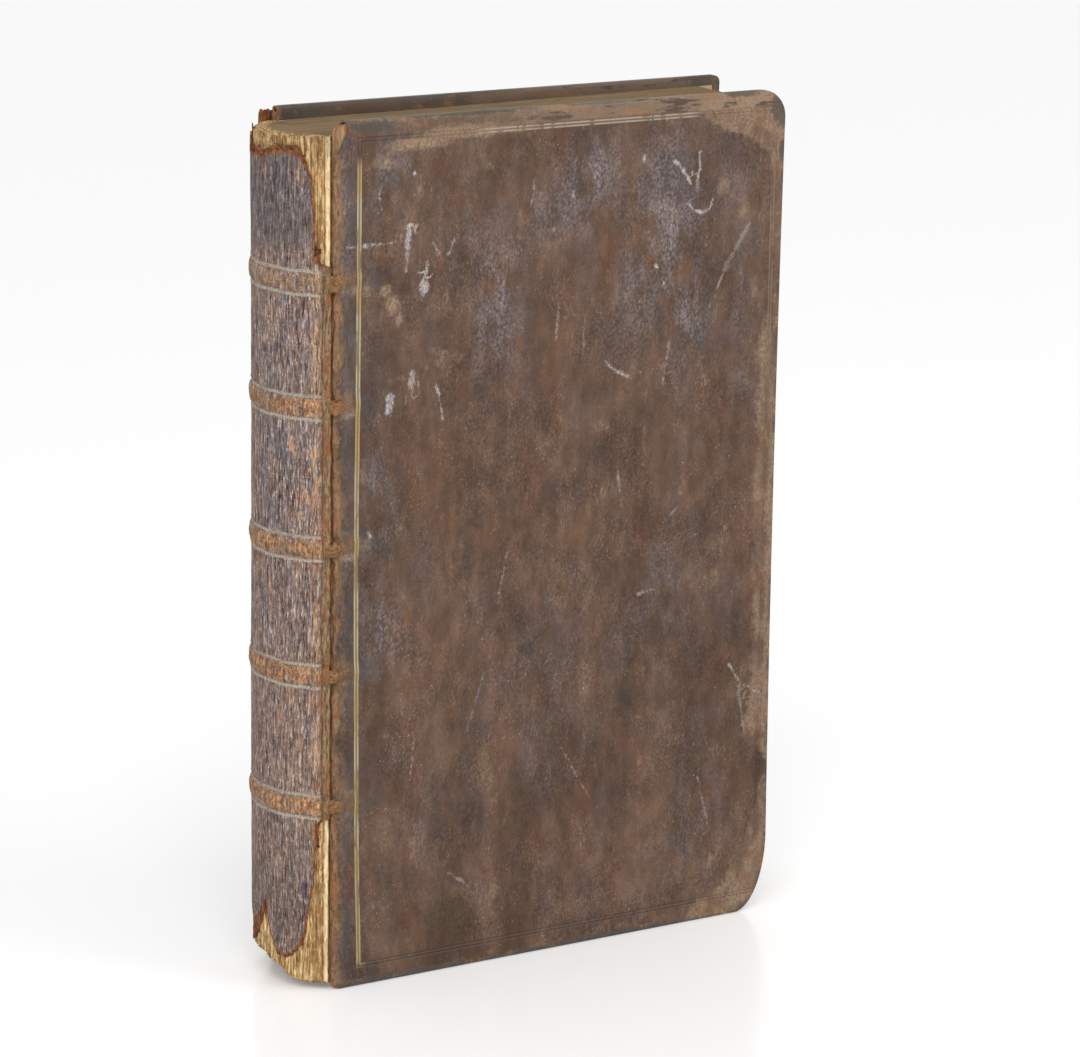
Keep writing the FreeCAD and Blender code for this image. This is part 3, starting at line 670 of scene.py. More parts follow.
    uneven = f.spots((0.42, 0.56, 0.3, 0.95), 10, f.place(1, 1, 0.5), 5, 0.7)
    worn = f.times(f.step(ragged, -1.2, 1.8), f.math("MAXIMUM", uneven, f.step(f.value("worn"), 3.5, 8)))
    suede = f.mix(f.spots((0.34, 0.66), 0.7, f.place(1.1, 1, 0.7), 5, 0.75), (112, 88, 70), (160, 136, 112))
    suede = f.mix(f.times(f.spots((0.48, 0.66), 9, None, 4, 0.6), 0.6), suede, (122, 86, 62))
    suede = f.mix(f.times(f.spots((0.56, 0.7), 13, f.place(1, 1, 0.5), 4, 0.6), 0.6), suede, (128, 112, 98))
    f.lay(f.times(worn, 0.9), suede)
    f.lay(f.times(between, f.value("rule"), 0.45), (138, 118, 102))
    f.lay(f.times(on_line, f.value("rule"), worn_gilt, 0.75), (176, 160, 140))
    rim = f.fall(f.math("ABSOLUTE", f.plus(f.value("edge"), 1)), 1.4, 4.2)
    grime = f.spots((0.44, 0.58), 7, f.place(1, 1, 1), 4, 0.65)
    f.lay(f.times(rim, grime, 0.8), (70, 64, 57))
    smear = f.noise(5, f.place(0.22, 1, 1.2), 4, 0.7)
    by_head = f.value("by_head")
    f.lay(f.times(by_head, 0.45), (158, 132, 108))
    f.lay(f.times(by_head, f.step(smear, 0.54, 0.62), 0.85), (66, 54, 47))
    f.lay(f.times(by_head, f.fall(smear, 0.36, 0.44), 0.75), (150, 106, 70))
    dirt = f.step(f.plus(f.value("grime"), f.times(f.math("SUBTRACT", f.noise(2, None, 5, 0.75), 0.5),
                                                   1.1)), 0.35, 0.6)
    f.lay(f.times(dirt, 0.75), (72, 70, 64))
    rim_rust = f.spots((0.6, 0.66), 5, f.place(0.8, 1, 1), 4, 0.7)
    edging = f.fall(f.value("edge"), 4, 6)
    if not front:
        f.lay(f.times(edging, 0.5), (64, 55, 46))
    f.lay(f.times(edging, rim_rust, 0.7 if front else 0.4), (140, 92, 56))
    near_joint = f.plus(f.value("joint"), f.times(f.noise(2.6, f.place(1, 1, 0.4), 5, 0.75), -5))
    rust = f.fall(near_joint, -1.6, 0.6)
    rust_tint = f.mix(f.spots((0.36, 0.62), 1, f.place(1, 1, 0.35), 5, 0.75), (104, 74, 50), (158, 122, 88))
    rust_tint = f.mix(f.times(f.spots((0.5, 0.64), 6, f.place(1, 1, 0.5), 3, 0.6), 0.7), rust_tint,
                      (150, 92, 50))
    f.lay(rust, rust_tint)
    if front:
        grain = f.math("SUBTRACT", f.noise(0.8, f.place(1.6, 1, 0.6), 5, 0.8), 0.5)
        lumps = f.math("SUBTRACT", f.noise(2.4, None, 3, 0.6), 0.5)
        past = f.math("MAXIMUM", f.plus(f.value("mark_along"), 0.6), 0)
        off = f.math("ABSOLUTE", f.value("mark_off"))
        away = f.math("SQRT", f.plus(f.times(off, off), f.times(past, past)))
        away = f.plus(away, f.times(f.value("mark_half"), -0.9))
        away = f.plus(away, f.times(grain, 4.2), f.times(lumps, 3.4))
        wide = f.step(f.value("mark_half"), 0.6, 1.4, 1, 0.45)
        broken = f.spots((0.4, 0.56, 0.25, 1), 0.55, f.place(1.8, 1, 0.45), 4, 0.8)
        mark = f.times(f.fall(away, -0.9, 0.35), f.value("mark_power"), f.math("MAXIMUM", wide, broken))
        chalk = f.mix(f.step(small, 0.4, 0.6), (212, 200, 186), (190, 188, 196))
        f.lay(f.times(mark, f.math("MAXIMUM", broken, 0.4), 0.92), chalk)
    grain_height = f.times(pebbles, f.plus(f.times(f.value("bloom"), -0.9), f.times(grained, -0.5), -0.2))
    height = f.plus(grain_height, f.times(fine, 0.45), f.times(worn, -0.6))
    gloss = f.step(f.plus(f.times(worn, 0.35), f.times(patches, 0.5)), 0.1, 0.7, 0.44, 0.78)
    return f.finish(height, 0.14, gloss)


# Boards

BOARD_Y = 24.85


def dressed_board(name, side, corner_r, head_r):
    """Pasteboard with a rubbed, layered edge at the joint. side is -1 at the front."""
    x_lines = spaced(((0, 0.35), (1.4, 0.6), (3.8, 1.2), (10, 8.0), (WIDTH - 20, 3.0), (WIDTH - 1.0, 1.0)))
    z_lines = spaced(((1.0, 1.0), (8, 2.2), (320, 1.1), (332, 0.7), (HEIGHT - 1.0, 1.0)))

    def place(u, v, w):
        s = np.interp(u, np.linspace(0, 1, len(x_lines)), x_lines)
        z = np.interp(w, np.linspace(0, 1, len(z_lines)), z_lines)
        limit = right_edge(z, head_r) - 1.0
        x = np.where(s > 150, 150 + (s - 150) / (WIDTH - 151) * (limit - 150), s)
        outer_bevel = 1.7 * np.clip(1 - x / JOINT_ROUND, 0, 1) ** 2
        y = BOARD_Y - outer_bevel - v * (3.1 - outer_bevel)
        near = np.clip(1 - s / 4, 0, 1)
        layer = np.floor(v * 7.99)
        recess = 0.42 * np.abs(field(z, layer * 7.3, 3.2, 1, 61))
        recess = recess + 0.25 * np.abs(field(z, layer * 5.1, 0.9, 1, 62))
        recess = recess + 0.8 * (np.abs(v - 0.55) * 1.8) ** 3
        past_corner = np.clip(z - (HEIGHT - 1 - corner_r), 0, corner_r)
        bite = corner_r - np.sqrt(np.clip(corner_r ** 2 - past_corner ** 2, 0, None))
        tail_bite = 3.0 * (1 - np.sqrt(np.clip(1 - np.clip(1 - (z - 1) / 3.0, 0, 1) ** 2, 0, 1)))
        x = x + near * (recess + bite * 1.2 + tail_bite)
        return x, side * y, z

    return shell(name, (len(x_lines) - 1, 8, len(z_lines) - 1), place)


def board_finish():
    f = Finish("pasteboard", 0.9, 0.15)
    layers = f.noise(0.32, f.place(0.4, 2.6, 0.05), 3, 0.6)
    dirt = f.noise(3, f.place(1, 1, 0.4), 4, 0.65)
    f.tint = f.mix(f.step(layers, 0.35, 0.65), (118, 92, 64), (178, 150, 112))
    f.lay(f.step(dirt, 0.42, 0.68), (150, 98, 58))
    f.lay(f.times(f.spots((0.5, 0.7), 9, None, 3), 0.5), (112, 98, 84))
    height = f.plus(layers, f.times(f.noise(0.5, None, 4, 0.7), 0.6))
    return f.finish(height, 0.25)


# Pages

FOLD_COUNT = 24
SHOULDER = math.degrees(math.acos((AXIS_X + 0.45) / FOLD_R))


def pages():
    """The text block: sections folded at the spine, leaves that run to the hollow fore-edge."""
    k_lines = np.concatenate([np.linspace(0, 0.16, 22), np.linspace(0.16, 0.94, 14)[1:],
                              np.linspace(0.94, 1, 10)[1:]])
    across, along, up = FOLD_COUNT * 6, len(k_lines) - 1, 170

    def place(u, v, w):
        k = np.interp(u, np.linspace(0, 1, along + 1), k_lines)
        section = np.minimum(np.floor(v * FOLD_COUNT), FOLD_COUNT - 1)
        part = v * FOLD_COUNT - section
        angle = SHOULDER - 2 * SHOULDER * v
        turn = np.radians(angle)
        radius = FOLD_R - 0.55 * (1 - np.sin(np.pi * np.clip(part, 0.04, 0.96)) ** 0.6)
        z_guess = w * HEIGHT
        radius = radius - 0.22 * np.abs(field(z_guess, section * 3.7, 9, 1, 71))
        fold_x, fold_y = AXIS_X - radius * np.cos(turn), -radius * np.sin(turn)
        flat_y = -PAGES_Y + 2 * PAGES_Y * v
        hollow = FORE_X - 8.0 * (1 - (flat_y / PAGES_Y) ** 2)
        leaf_step = 0.25 * field(v * 170, z_guess, 1, 200, 72) * smooth(0.9, 1, k)
        x = fold_x + (hollow - fold_x) * k + leaf_step
        x = np.minimum(x, right_edge(z_guess) - 1.2)
        flare = np.exp(-np.clip(x + 0.4, 0, None) / 1.1) * (x > -0.4) + (x <= -0.4)
        y = flat_y + (fold_y - flat_y) * flare
        rub = np.interp(angle, [a for a, _ in TAIL_RUB], [h for _, h in TAIL_RUB])
        seat_x = AXIS_X - FOLD_R * np.cos(turn)
        frayed = 1.6 * field(section * 9.1, 0, 1, 1, 73) + 0.9 * field(v * 150, 0, 1, 1, 74)
        low = np.maximum(TAIL_Z, rub + TAIL_RUB_SLOPE * (seat_x - x) + frayed * np.exp(-(x + 16) / 10))
        sagged = HEIGHT - 5.6 + 1.8 * (x + 18) / (FORE_X + 18)
        high = sagged + 0.35 * field(section * 5.3, x, 1, 60, 75) + 0.12 * field(v * 160, x, 1, 40, 76)
        frayed = 1.8 * np.abs(field(v * 90, 0, 1, 1, 77)) + 1.6 * np.abs(field(v * 24, 0, 1, 1, 79))
        high = high - frayed * np.exp(-np.clip(x + 16, 0, None) / 4)
        z = low + (high - low) * w
        return x, y, z

    def values(u, v):
        section = np.minimum(np.floor(v * FOLD_COUNT), FOLD_COUNT - 1)
        run = np.interp(u, np.linspace(0, 1, along + 1), k_lines) * 220
        return {"leaf": v * 100, "fold": v * FOLD_COUNT - section, "run": run}

    return shell("pages", (along, across, up), place, values)


def pages_finish():
    f = Finish("page_paper", 0.88, 0.2)
    along_leaves = []
    for across, run, up in ((4, 0.02, 0.012), (0.7, 0.012, 0.006)):
        lines = f.nodes.new("ShaderNodeCombineXYZ")
        parts = f.times(f.value("leaf"), across), f.times(f.value("run"), run), f.times(f.up(), up)
        for socket, part in zip(lines.inputs, parts):
            f.put(socket, part)
        along_leaves.append(f.noise(1, lines.outputs[0], 3, 0.6))
    leaves, bundles = along_leaves
    dust = f.noise(12, None, 4, 0.6)
    f.tint = f.mix(f.step(leaves, 0.35, 0.66), (112, 90, 62), (158, 134, 100))
    f.lay(f.times(f.step(bundles, 0.42, 0.62), 0.5), (124, 104, 76))
    f.lay(f.times(f.step(dust, 0.45, 0.65), 0.45), (120, 104, 84))
    at_folds = f.fall(f.value("run"), 4, 9)
    fibre = f.noise(1.1, f.place(1.2, 1.2, 0.16), 5, 0.72)
    fold_tint = f.mix(f.step(fibre, 0.38, 0.58), (136, 96, 54), (222, 190, 136))
    fold_tint = f.mix(f.times(f.spots((0.5, 0.62), 4, f.place(1, 1, 0.4), 4, 0.7), 0.65), fold_tint,
                      (122, 80, 44))
    # Dark spots in the worn folds: the holes are real wear, and their dark is painted shade inside them.
    frayed = f.spots((0.58, 0.64), 1.3, f.place(1.4, 1.4, 0.35), 4, 0.75)
    fold_tint = f.mix(f.times(frayed, 0.8), fold_tint, (66, 44, 26))
    lumps = f.times(f.step(f.value("leaf"), 3.4, 4.4), f.fall(f.value("leaf"), 9.5, 12),
                    f.step(fibre, 0.36, 0.56, 1, 0.35))
    fold_tint = f.mix(f.times(lumps, 0.75), fold_tint, (140, 104, 66))
    strip = f.times(f.step(f.value("leaf"), 1, 1.5), f.fall(f.value("leaf"), 2.9, 3.5),
                    f.step(fibre, 0.3, 0.42))
    fold_tint = f.mix(f.times(strip, 0.9), fold_tint, (228, 204, 160))
    # Painted shade: dark lines in the valleys between the folded sections.
    valley_shade = f.step(f.off(f.value("fold"), 0.5), 0.36, 0.5)
    fold_tint = f.mix(f.times(valley_shade, 0.8), fold_tint, (78, 54, 32))
    # Painted shade: the leaves by the front joint are darkened for the shaded gap between the pages and the
    # cover.
    last = f.fall(f.value("leaf"), 0.4, 1.1)
    fold_tint = f.mix(f.times(last, 0.85), fold_tint, (58, 42, 28))
    by_head = f.step(f.up(), 318, 330, 1, 0.74)
    fold_level = f.times(f.spots((0.4, 0.6, 1, 1.5), 2.6, f.place(1, 1, 0.4), 5, 0.75), by_head)
    f.lay(at_folds, f.dim(fold_tint, fold_level))
    height = f.plus(leaves, f.times(bundles, 0.8), f.times(fibre, 0.4))
    return f.finish(height, 0.3)


# Leather of the spine

def torn(outline, angle):
    return np.interp(angle, [a for a, _ in outline], [z for _, z in outline])


def front_edge(z):
    """Angle at which the leather ends at the front joint: torn back at head and tail."""
    grip = smooth(BANDS[0] - 7.5, BANDS[0] - 5.0, z) * (1 - smooth(BANDS[4] + 5.0, BANDS[4] + 7.5, z))
    ragged = 0.8 * field(z, 0, 3.2, 1, 81) * (1 - grip) - 1.3 * np.abs(field(z, 0, 4.0, 1, 82)) * grip
    return 57.2 + grip * (12.8 - 1.8 * np.abs(field(z, 0, 7.0, 1, 80))) + ragged


def head_edge(angle):
    """Height at which the leather ends at the head."""
    high = torn(HEAD_TEAR, np.minimum(angle, 56)) + 0.6 * field(angle, 0, 2.1, 1, 85)
    return high + 0.4 * field(angle, 0, 0.9, 1, 86)


def band_profile(z, angle):
    """Rise of the leather over the cords, with a tooled line on both sides, and the place across the band."""
    rise = np.zeros(np.shape(z))
    across = np.full(np.shape(z), 30.0)
    slant = 0.024 * np.clip(30 - angle, -40, 55)
    for z_band in BANDS:
        off = z - z_band - slant - 0.25 * field(angle, z_band, 9, 1, 93)
        across = np.where(np.abs(off) < np.abs(across), off, across)
        share = np.clip(1 - (off / (BAND_HALF + 0.3)) ** 2, 0, 1)
        rise = rise + BAND_RISE * share ** 0.7
        for middle in (-4.3, 4.3):
            rise = rise - 0.26 * np.exp(-((off - middle) / 0.45) ** 2)
            rise = rise + 0.20 * np.exp(-((off - middle * 1.22) / 0.5) ** 2)
    return rise, across


# Chips and scratches on the spine: angle, height, half width in degrees, half height
CHIPS = (
    (34.5, 219, 2.4, 2), (37, 216.4, 2.6, 2.2), (39, 213.6, 1.6, 1.4), (48, 198.4, 2.6, 1.8),
    (50.2, 196, 2.6, 1.8), (54, 194, 2.2, 1.4), (14.8, 160.2, 1.8, 2.4), (17.4, 158, 1.2, 1.2),
    (39.4, 164, 1.1, 1), (43.6, 161, 1, 1.1), (9, 320.6, 0.9, 4.4), (33.1, 321, 0.8, 5),
    (41.5, 320.5, 1.3, 3.8), (46, 318, 0.8, 2), (38, 204, 0.7, 6.5), (41, 194, 0.7, 7), (44, 186.5, 0.8, 4),
    (22.5, 205, 0.7, 6), (17, 210, 0.8, 3), (27, 200.5, 1, 2), (56, 212, 1.8, 6), (57, 200, 1.6, 7),
    (56, 250, 1.3, 7), (57.5, 262, 1.3, 5), (52, 118, 1.4, 4), (24, 110, 0.8, 4), (10, 60, 0.9, 6),
    (31, 62, 0.9, 5), (44, 100, 1, 5), (19, 90, 0.9, 4), (57, 150, 1.4, 8), (56.5, 95, 1.6, 7),
    (-20, 140, 1.4, 4), (-38, 210, 1.6, 5), (-30, 60, 1.6, 5), (30, 242, 0.8, 4),
)


def spine_places(rows, columns, grow):
    """Places of a grid that fills the torn outline of the spine's leather, or one that is grow wider."""
    t, s = np.meshgrid(columns, rows)
    side_edge = front_edge(s) + grow * (2.2 + 1.6 * field(s, 0, 3.0, 1, 94))
    angle = np.where(t > 40, 40 + (t - 40) / 30 * (side_edge - 40), t)
    low = torn(TAIL_TEAR, np.minimum(angle, 56.9)) + 0.7 * field(angle, 0, 1.7, 1, 83)
    low = low + 0.5 * field(angle, 0, 0.8, 1, 84)
    high = head_edge(angle)
    low = low - grow * (0.5 + 0.7 * field(angle, 0, 2.4, 1, 96))
    wider = 1.7 + 1.1 * field(angle, 0, 4.5, 1, 97) + 0.4 * field(angle, 0, 1.6, 1, 98)
    high = high + grow * wider * smooth(-56, -50, angle)
    z = np.where(s < 60, low + s / 60 * (60 - low), s)
    z = np.where(s > 290, 290 + (s - 290) / 50 * (high - 290), z)
    return angle, z, side_edge, low, high


def torn_lining(name, first, last):
    """Rusty under-layer that shows past the torn leather, between two heights."""
    angle, z, side_edge, low, high = spine_places(spaced(((first, 0.9), (last, 1.0))),
                                                  spaced(((-52.0, 1.0), (70.0, 1.0))), 1.0)
    angle = np.minimum(angle, 63 + 0.6 * field(z, 0, 3.0, 1, 104))
    radius = SPINE_R - 0.78 + 0.16 * field(angle, z, 1.6, 1.6, 99) + 0.12 * field(angle, z, 0.8, 4, 100)
    turn = np.radians(angle)
    points = np.stack([AXIS_X - radius * np.cos(turn), -radius * np.sin(turn), z], axis=-1).reshape(-1, 3)
    piece = mesh_object(name, points, grid_faces(*z.shape))
    thicken(piece, 0.35, -1)
    return piece


def lining_finish():
    f = Finish("torn_lining", 0.85, 0.2)
    layers = f.noise(1.1, f.place(1, 1, 0.6), 5, 0.75)
    f.tint = f.mix(f.step(layers, 0.38, 0.62), (98, 58, 38), (154, 100, 62))
    f.lay(f.times(f.spots((0.46, 0.6), 3.4, None, 4, 0.7), 0.75), (78, 54, 40))
    f.lay(f.times(f.spots((0.58, 0.68), 2.2, f.place(1, 1, 0.5), 4, 0.7), 0.7), (190, 146, 96))
    return f.finish(layers, 0.5)


def over_joint(side, rise, angles, beyond):
    """A line seen from above, over the spine to one joint and on past it, and the way along it."""
    turns, radius = np.radians(angles), SPINE_R + rise
    on_spine = np.stack([AXIS_X - radius * np.cos(turns), side * radius * np.sin(turns)], axis=1)
    path = np.concatenate([on_spine, beyond])
    return path, np.concatenate([[0], np.cumsum(np.hypot(*np.diff(path, axis=0).T))])


def joint_bridge(number, z_band):
    """Cords and leather of one band where they still hold the front cover, bent over the joint."""
    path, length = over_joint(-1, 0.3, (61, 63, 65, 67), ((-1.3, -25.7), (-0.3, -26), (0.8, -26.1),
                                                          (2, -26), (3.2, -25.7), (4.6, -25.1)))
    along = np.linspace(0, length[-1], 34)
    px, py = (np.interp(along, length, line) for line in path.T)
    tx, ty = np.gradient(px), np.gradient(py)
    size = np.hypot(tx, ty)
    nx, ny = ty / size, -tx / size
    body = np.sin(np.pi * np.clip(along / length[-1], 0.02, 0.98)) ** 0.45
    points, faces, around = [], [], 22
    for i in range(len(along)):
        for k in range(around):
            t = 2 * math.pi * k / around
            lump = 1 + 0.30 * float(field(along[i], math.cos(t) * 3, 1.7, 1.6, 110 + number))
            lump += 0.16 * float(field(along[i], math.cos(t) * 3, 0.8, 0.8, 120 + number))
            half = (2.5 if number < 5 else 2.9) * body[i] * lump
            high = (0.7 if math.sin(t) > 0 else 0.5) * body[i] * math.sin(t) * lump
            points.append((px[i] + nx[i] * high, py[i] + ny[i] * high, z_band - 0.6 + half * math.cos(t)))
    for i in range(len(along) - 1):
        for k in range(around):
            a, b = i * around + k, i * around + (k + 1) % around
            faces.append((a, b, b + around, a + around))
    last = (len(along) - 1) * around
    faces += [tuple(range(around))[::-1], tuple(range(last, last + around))]
    return mesh_object("joint_bridge_%d" % number, points, faces)


def bridge_finish():
    f = Finish("joint_leather", 0.8, 0.25)
    strands = f.noise(0.8, f.place(0.4, 1, 1.3), 5, 0.75)
    f.tint = f.mix(f.step(strands, 0.36, 0.62), (92, 64, 42), (164, 126, 84))
    f.lay(f.times(f.spots((0.5, 0.62), 3, None, 4, 0.7), 0.7), (142, 86, 48))
    f.lay(f.times(f.spots((0.58, 0.68), 2, None, 4, 0.7), 0.7), (70, 48, 34))
    return f.finish(strands, 0.5)


def rear_joint():
    """Leather that runs unbroken over the rear joint."""
    path, length = over_joint(1, 0.1, (60, 63, 66, 68.5), ((-0.4, 25.35), (0.6, 25.25), (1.6, 25.3),
                                                           (3, 25.55), (4.6, 25.6), (6, 25.2)))
    along, z = np.meshgrid(np.linspace(0, 1, 22), spaced(((11, 1.2), (338.2, 1))))
    raised = np.zeros(z.shape)
    for z_band in BANDS:
        raised = raised + 0.75 * np.exp(-((z - z_band) / 3.0) ** 2)
    raised = (raised + 0.12 * field(along * 14, z, 1.4, 6, 102)) * np.sin(np.pi * along) ** 0.5
    x, y = (np.interp(along * length[-1], length, line) for line in path.T)
    points = np.stack([x, y + raised, z], axis=-1).reshape(-1, 3)
    flat = {"worn": -20, "edge": 30, "inset": -8, "joint": 6.5 + 2.5 * field(along * 14, z, 3, 14, 105)}
    values = {key: (np.zeros(z.shape) + data).ravel() for key, data in flat.items()}
    piece = mesh_object("rear_joint_leather", points, grid_faces(*z.shape, flip=True), values)
    thicken(piece, 0.7, -1)
    return piece


def spine_skin():
    """Leather of the spine, over the bands and torn at head, tail and front joint."""
    bands = []
    for z_band in BANDS:
        bands += [(z_band - 7.5, 0.45), (z_band + 7.5, 1.35)]
    rows = spaced([(0, 0.8), (12, 1.35)] + bands + [(326, 0.6), (HEIGHT, 1.0)])
    columns = spaced(((-70.0, 1.1), (-28, 1.25), (0, 1.05), (70.0, 1.0)))
    angle, z, side_edge, low, high = spine_places(rows, columns, 0)
    rise, across = band_profile(z, angle)
    gap = np.minimum(np.minimum(z - low, high - z), np.radians(side_edge - angle) * SPINE_R)
    gap = np.where((angle < 45) & (z > 60) & (z < 286), 30, np.clip(gap, 0, 30))
    gap = np.where((angle < -50) & (z > 329), np.minimum(gap, 0.4), gap)
    worn = 0.13 * field(angle, z, 1.5, 14, 87) + 0.07 * field(angle, z, 0.8, 6, 88)
    worn = worn + 0.18 * field(angle, z, 14, 30, 89)
    crest = 0.16 * field(angle, z, 3.0, 1.6, 90) * (np.abs(across) < 4.5)
    curl = 0.35 * np.exp(-gap / 1.2) * (0.5 + field(angle, z, 6, 6, 91))
    frayed = 0.3 * field(angle, z, 1.3, 3.0, 92) * smooth(56, 62, angle)
    furrow = angle - 61.5 - 1.6 * field(z, 0, 9, 1, 103)
    ridge = 0.42 * np.exp(-((angle - 66.5) / 2.0) ** 2) - 0.35 * np.exp(-(furrow / 0.9) ** 2)
    tucked = 1.3 * (1 - smooth(0, 15, z - low)) * (1 - smooth(-4, 8, angle))
    tucked = tucked * smooth(-72, -60, angle) * (z < 60)
    radius = SPINE_R - 0.15 + rise + worn + crest + curl + frayed + ridge - tucked
    turn = np.radians(angle)
    x = AXIS_X - radius * np.cos(turn)
    y = -radius * np.sin(turn)
    over = np.maximum(np.abs(y) - (HALF_T - 0.35), 0)
    y = np.sign(y) * (np.abs(y) - over * 0.85)
    x = np.minimum(x, -0.3)
    points = np.stack([x, y, z], axis=-1).reshape(-1, 3)
    chip = np.full(angle.shape, 9.0)
    for at, height, wide, tall in CHIPS:
        chip = np.minimum(chip, np.hypot((angle - at) / wide, (z - height) / tall))
    flat = {"torn": gap, "band": across, "angle": angle, "joint": 70 - np.abs(angle), "chip": chip}
    values = {key: data.ravel() for key, data in flat.items()}
    piece = mesh_object("spine_skin", points, grid_faces(*x.shape), values)
    thicken(piece, LEATHER_T, -1)
    return piece


def spine_finish():
    f = Finish("spine_leather", specular=0.25)
    patches = f.noise(22, f.place(1, 1, 0.6), 4, 0.6)
    crackle = f.noise(1.05, f.place(1.5, 1.5, 0.13), 5, 0.72)
    flakes = f.noise(0.75, f.place(1.4, 1.4, 0.2), 4, 0.7)
    grain = f.noise(0.5, None, 3, 0.6)
    upper = f.step(f.up(), 284, 300)
    f.tint = f.mix(f.step(patches, 0.38, 0.62), (112, 99, 98), (136, 112, 98))
    reddish = f.spots((0.48, 0.6), 9, f.place(1, 1, 0.3), 4, 0.7)
    f.lay(f.times(reddish, 0.5), (122, 88, 76))
    bluish = f.spots((0.54, 0.66), 8, f.place(1, 1, 0.4), 4, 0.65)
    f.lay(f.times(bluish, 0.6), (104, 104, 116))
    f.lay(f.times(upper, 0.55), (94, 90, 94))
    f.lay(f.times(f.fall(crackle, 0.39, 0.47), 0.9), (48, 38, 37))
    f.lay(f.times(f.step(crackle, 0.56, 0.64), f.step(upper, 0, 1, 0.7, 0.35)), (182, 154, 136))
    f.lay(f.times(f.step(flakes, 0.55, 0.63), f.step(upper, 0, 1, 0.75, 0.5)), (200, 180, 170))
    glints = f.spots((0.58, 0.64), 0.55, f.place(1.3, 1.3, 0.16), 4, 0.75)
    f.lay(f.times(glints, f.step(upper, 0, 1, 0.85, 0.45)), (224, 208, 198))
    rubbed = f.times(f.spots((0.59, 0.65), 3.4, f.place(1, 1, 0.24), 5, 0.78), 0.7)
    f.lay(rubbed, f.mix(f.step(flakes, 0.44, 0.56), (166, 108, 70), (196, 158, 124)))
    band = f.math("ABSOLUTE", f.value("band"))
    crest_noise = f.noise(3, f.place(0.8, 0.8, 1), 5, 0.75)
    crest = f.times(f.fall(band, 2.6, 4.3), f.step(crest_noise, 0.36, 0.5))
    crest_tint = f.mix(f.spots((0.38, 0.6), 1.2, f.place(1.3, 1.3, 0.7), 5, 0.78), (118, 78, 50),
                       (202, 152, 108))
    crest_tint = f.mix(f.times(f.spots((0.52, 0.6), 3.4, None, 5, 0.75), 0.8), crest_tint, (88, 70, 62))
    crest_tint = f.mix(f.times(f.spots((0.48, 0.6), 10, None, 3), 0.5), crest_tint, (142, 122, 96))
    top_band = f.step(f.up(), 262, 270)
    top_tint = f.mix(f.step(grain, 0.4, 0.6), (82, 68, 58), (164, 148, 132))
    crest_tint = f.mix(f.times(top_band, 0.55), crest_tint, top_tint)
    f.lay(f.times(crest, 0.9), crest_tint)
    beside = f.times(f.step(band, 3.7, 4.1), f.fall(band, 4.8, 5.4))
    beside = f.times(beside, f.spots((0.34, 0.48), 2.2, None, 5, 0.75))
    upright = f.spots((0.4, 0.6), 1.3, f.place(1.3, 1.3, 0.14), 5, 0.75)
    level = f.plus(f.times(upright, f.step(upper, 0, 1, 0.75, 0.45)), f.step(upper, 0, 1, 0.75, 0.8))
    by_tail = f.step(f.up(), 40, 75, 0.8, 1)
    blotch = f.spots((0.4, 0.6, 0.8, 1.22), 2.4, None, 5, 0.8)
    f.tint = f.dim(f.tint, f.times(level, by_tail, blotch))
    f.lay(f.times(beside, 0.92), f.mix(f.step(grain, 0.38, 0.6), (150, 138, 120), (216, 206, 190)))
    chipped = f.plus(f.value("chip"), f.times(f.math("SUBTRACT", f.noise(1.6, f.place(1, 1, 0.6), 5, 0.8),
                                                     0.5), 3.4))
    chip = f.fall(chipped, 0.55, 1.1)
    f.lay(f.times(chip, 0.9), f.mix(f.step(flakes, 0.42, 0.58), (178, 116, 74), (216, 184, 150)))
    ragged = f.plus(f.value("torn"), f.times(f.noise(1.8, f.place(1, 1, 0.5), 4, 0.7), -2.4))
    rust = f.fall(ragged, -0.8, 0.9)
    rust_tint = f.mix(f.spots((0.38, 0.62), 1.4, f.place(1, 1, 0.6), 4, 0.7), (108, 58, 32), (168, 106, 62))
    f.lay(rust, rust_tint)
    streaks = f.spots((0.5, 0.58), 0.9, f.place(1.3, 1.3, 0.12), 5, 0.75)
    outer = f.times(f.fall(f.value("joint"), 14, 20), f.step(f.value("angle"), 30, 40))
    f.lay(f.times(streaks, outer, 0.85), f.mix(f.step(flakes, 0.44, 0.56), (180, 112, 62), (216, 190, 152)))
    by_joint = f.plus(f.value("joint"), f.times(f.noise(4, f.place(1, 1, 0.3), 4, 0.7), -9))
    strip = f.times(f.fall(by_joint, 3, 6), f.step(f.value("angle"), 30, 40))
    strip_tint = f.mix(f.spots((0.4, 0.6), 0.9, f.place(1.2, 1.2, 0.2), 5, 0.8), (88, 66, 46),
                       (178, 146, 106))
    strip_tint = f.mix(f.times(f.spots((0.48, 0.6), 6, f.place(1, 1, 0.4), 4, 0.7), 0.8), strip_tint,
                       (158, 92, 48))
    furrow = f.plus(f.value("joint"), f.times(f.noise(6, f.place(1, 1, 0.3), 4, 0.7), -10))
    furrow = f.fall(f.off(furrow, 3.2), 0.3, 1.2)
    strip_tint = f.mix(f.times(furrow, 0.7), strip_tint, (70, 46, 32))
    f.lay(f.times(strip, 0.92), strip_tint)
    crack = f.fall(f.plus(f.value("joint"), f.times(f.noise(3, f.place(1, 1, 0.4), 3), -3)), -0.8, 0.4)
    f.lay(f.times(crack, f.step(f.value("angle"), 30, 40), 0.75), (74, 36, 20))
    height = f.plus(f.times(crackle, 1.2), f.times(flakes, 0.6), f.times(grain, 0.3))
    return f.finish(height, 0.55, f.step(crackle, 0.3, 0.7, 0.8, 0.55))


# Plain finishes

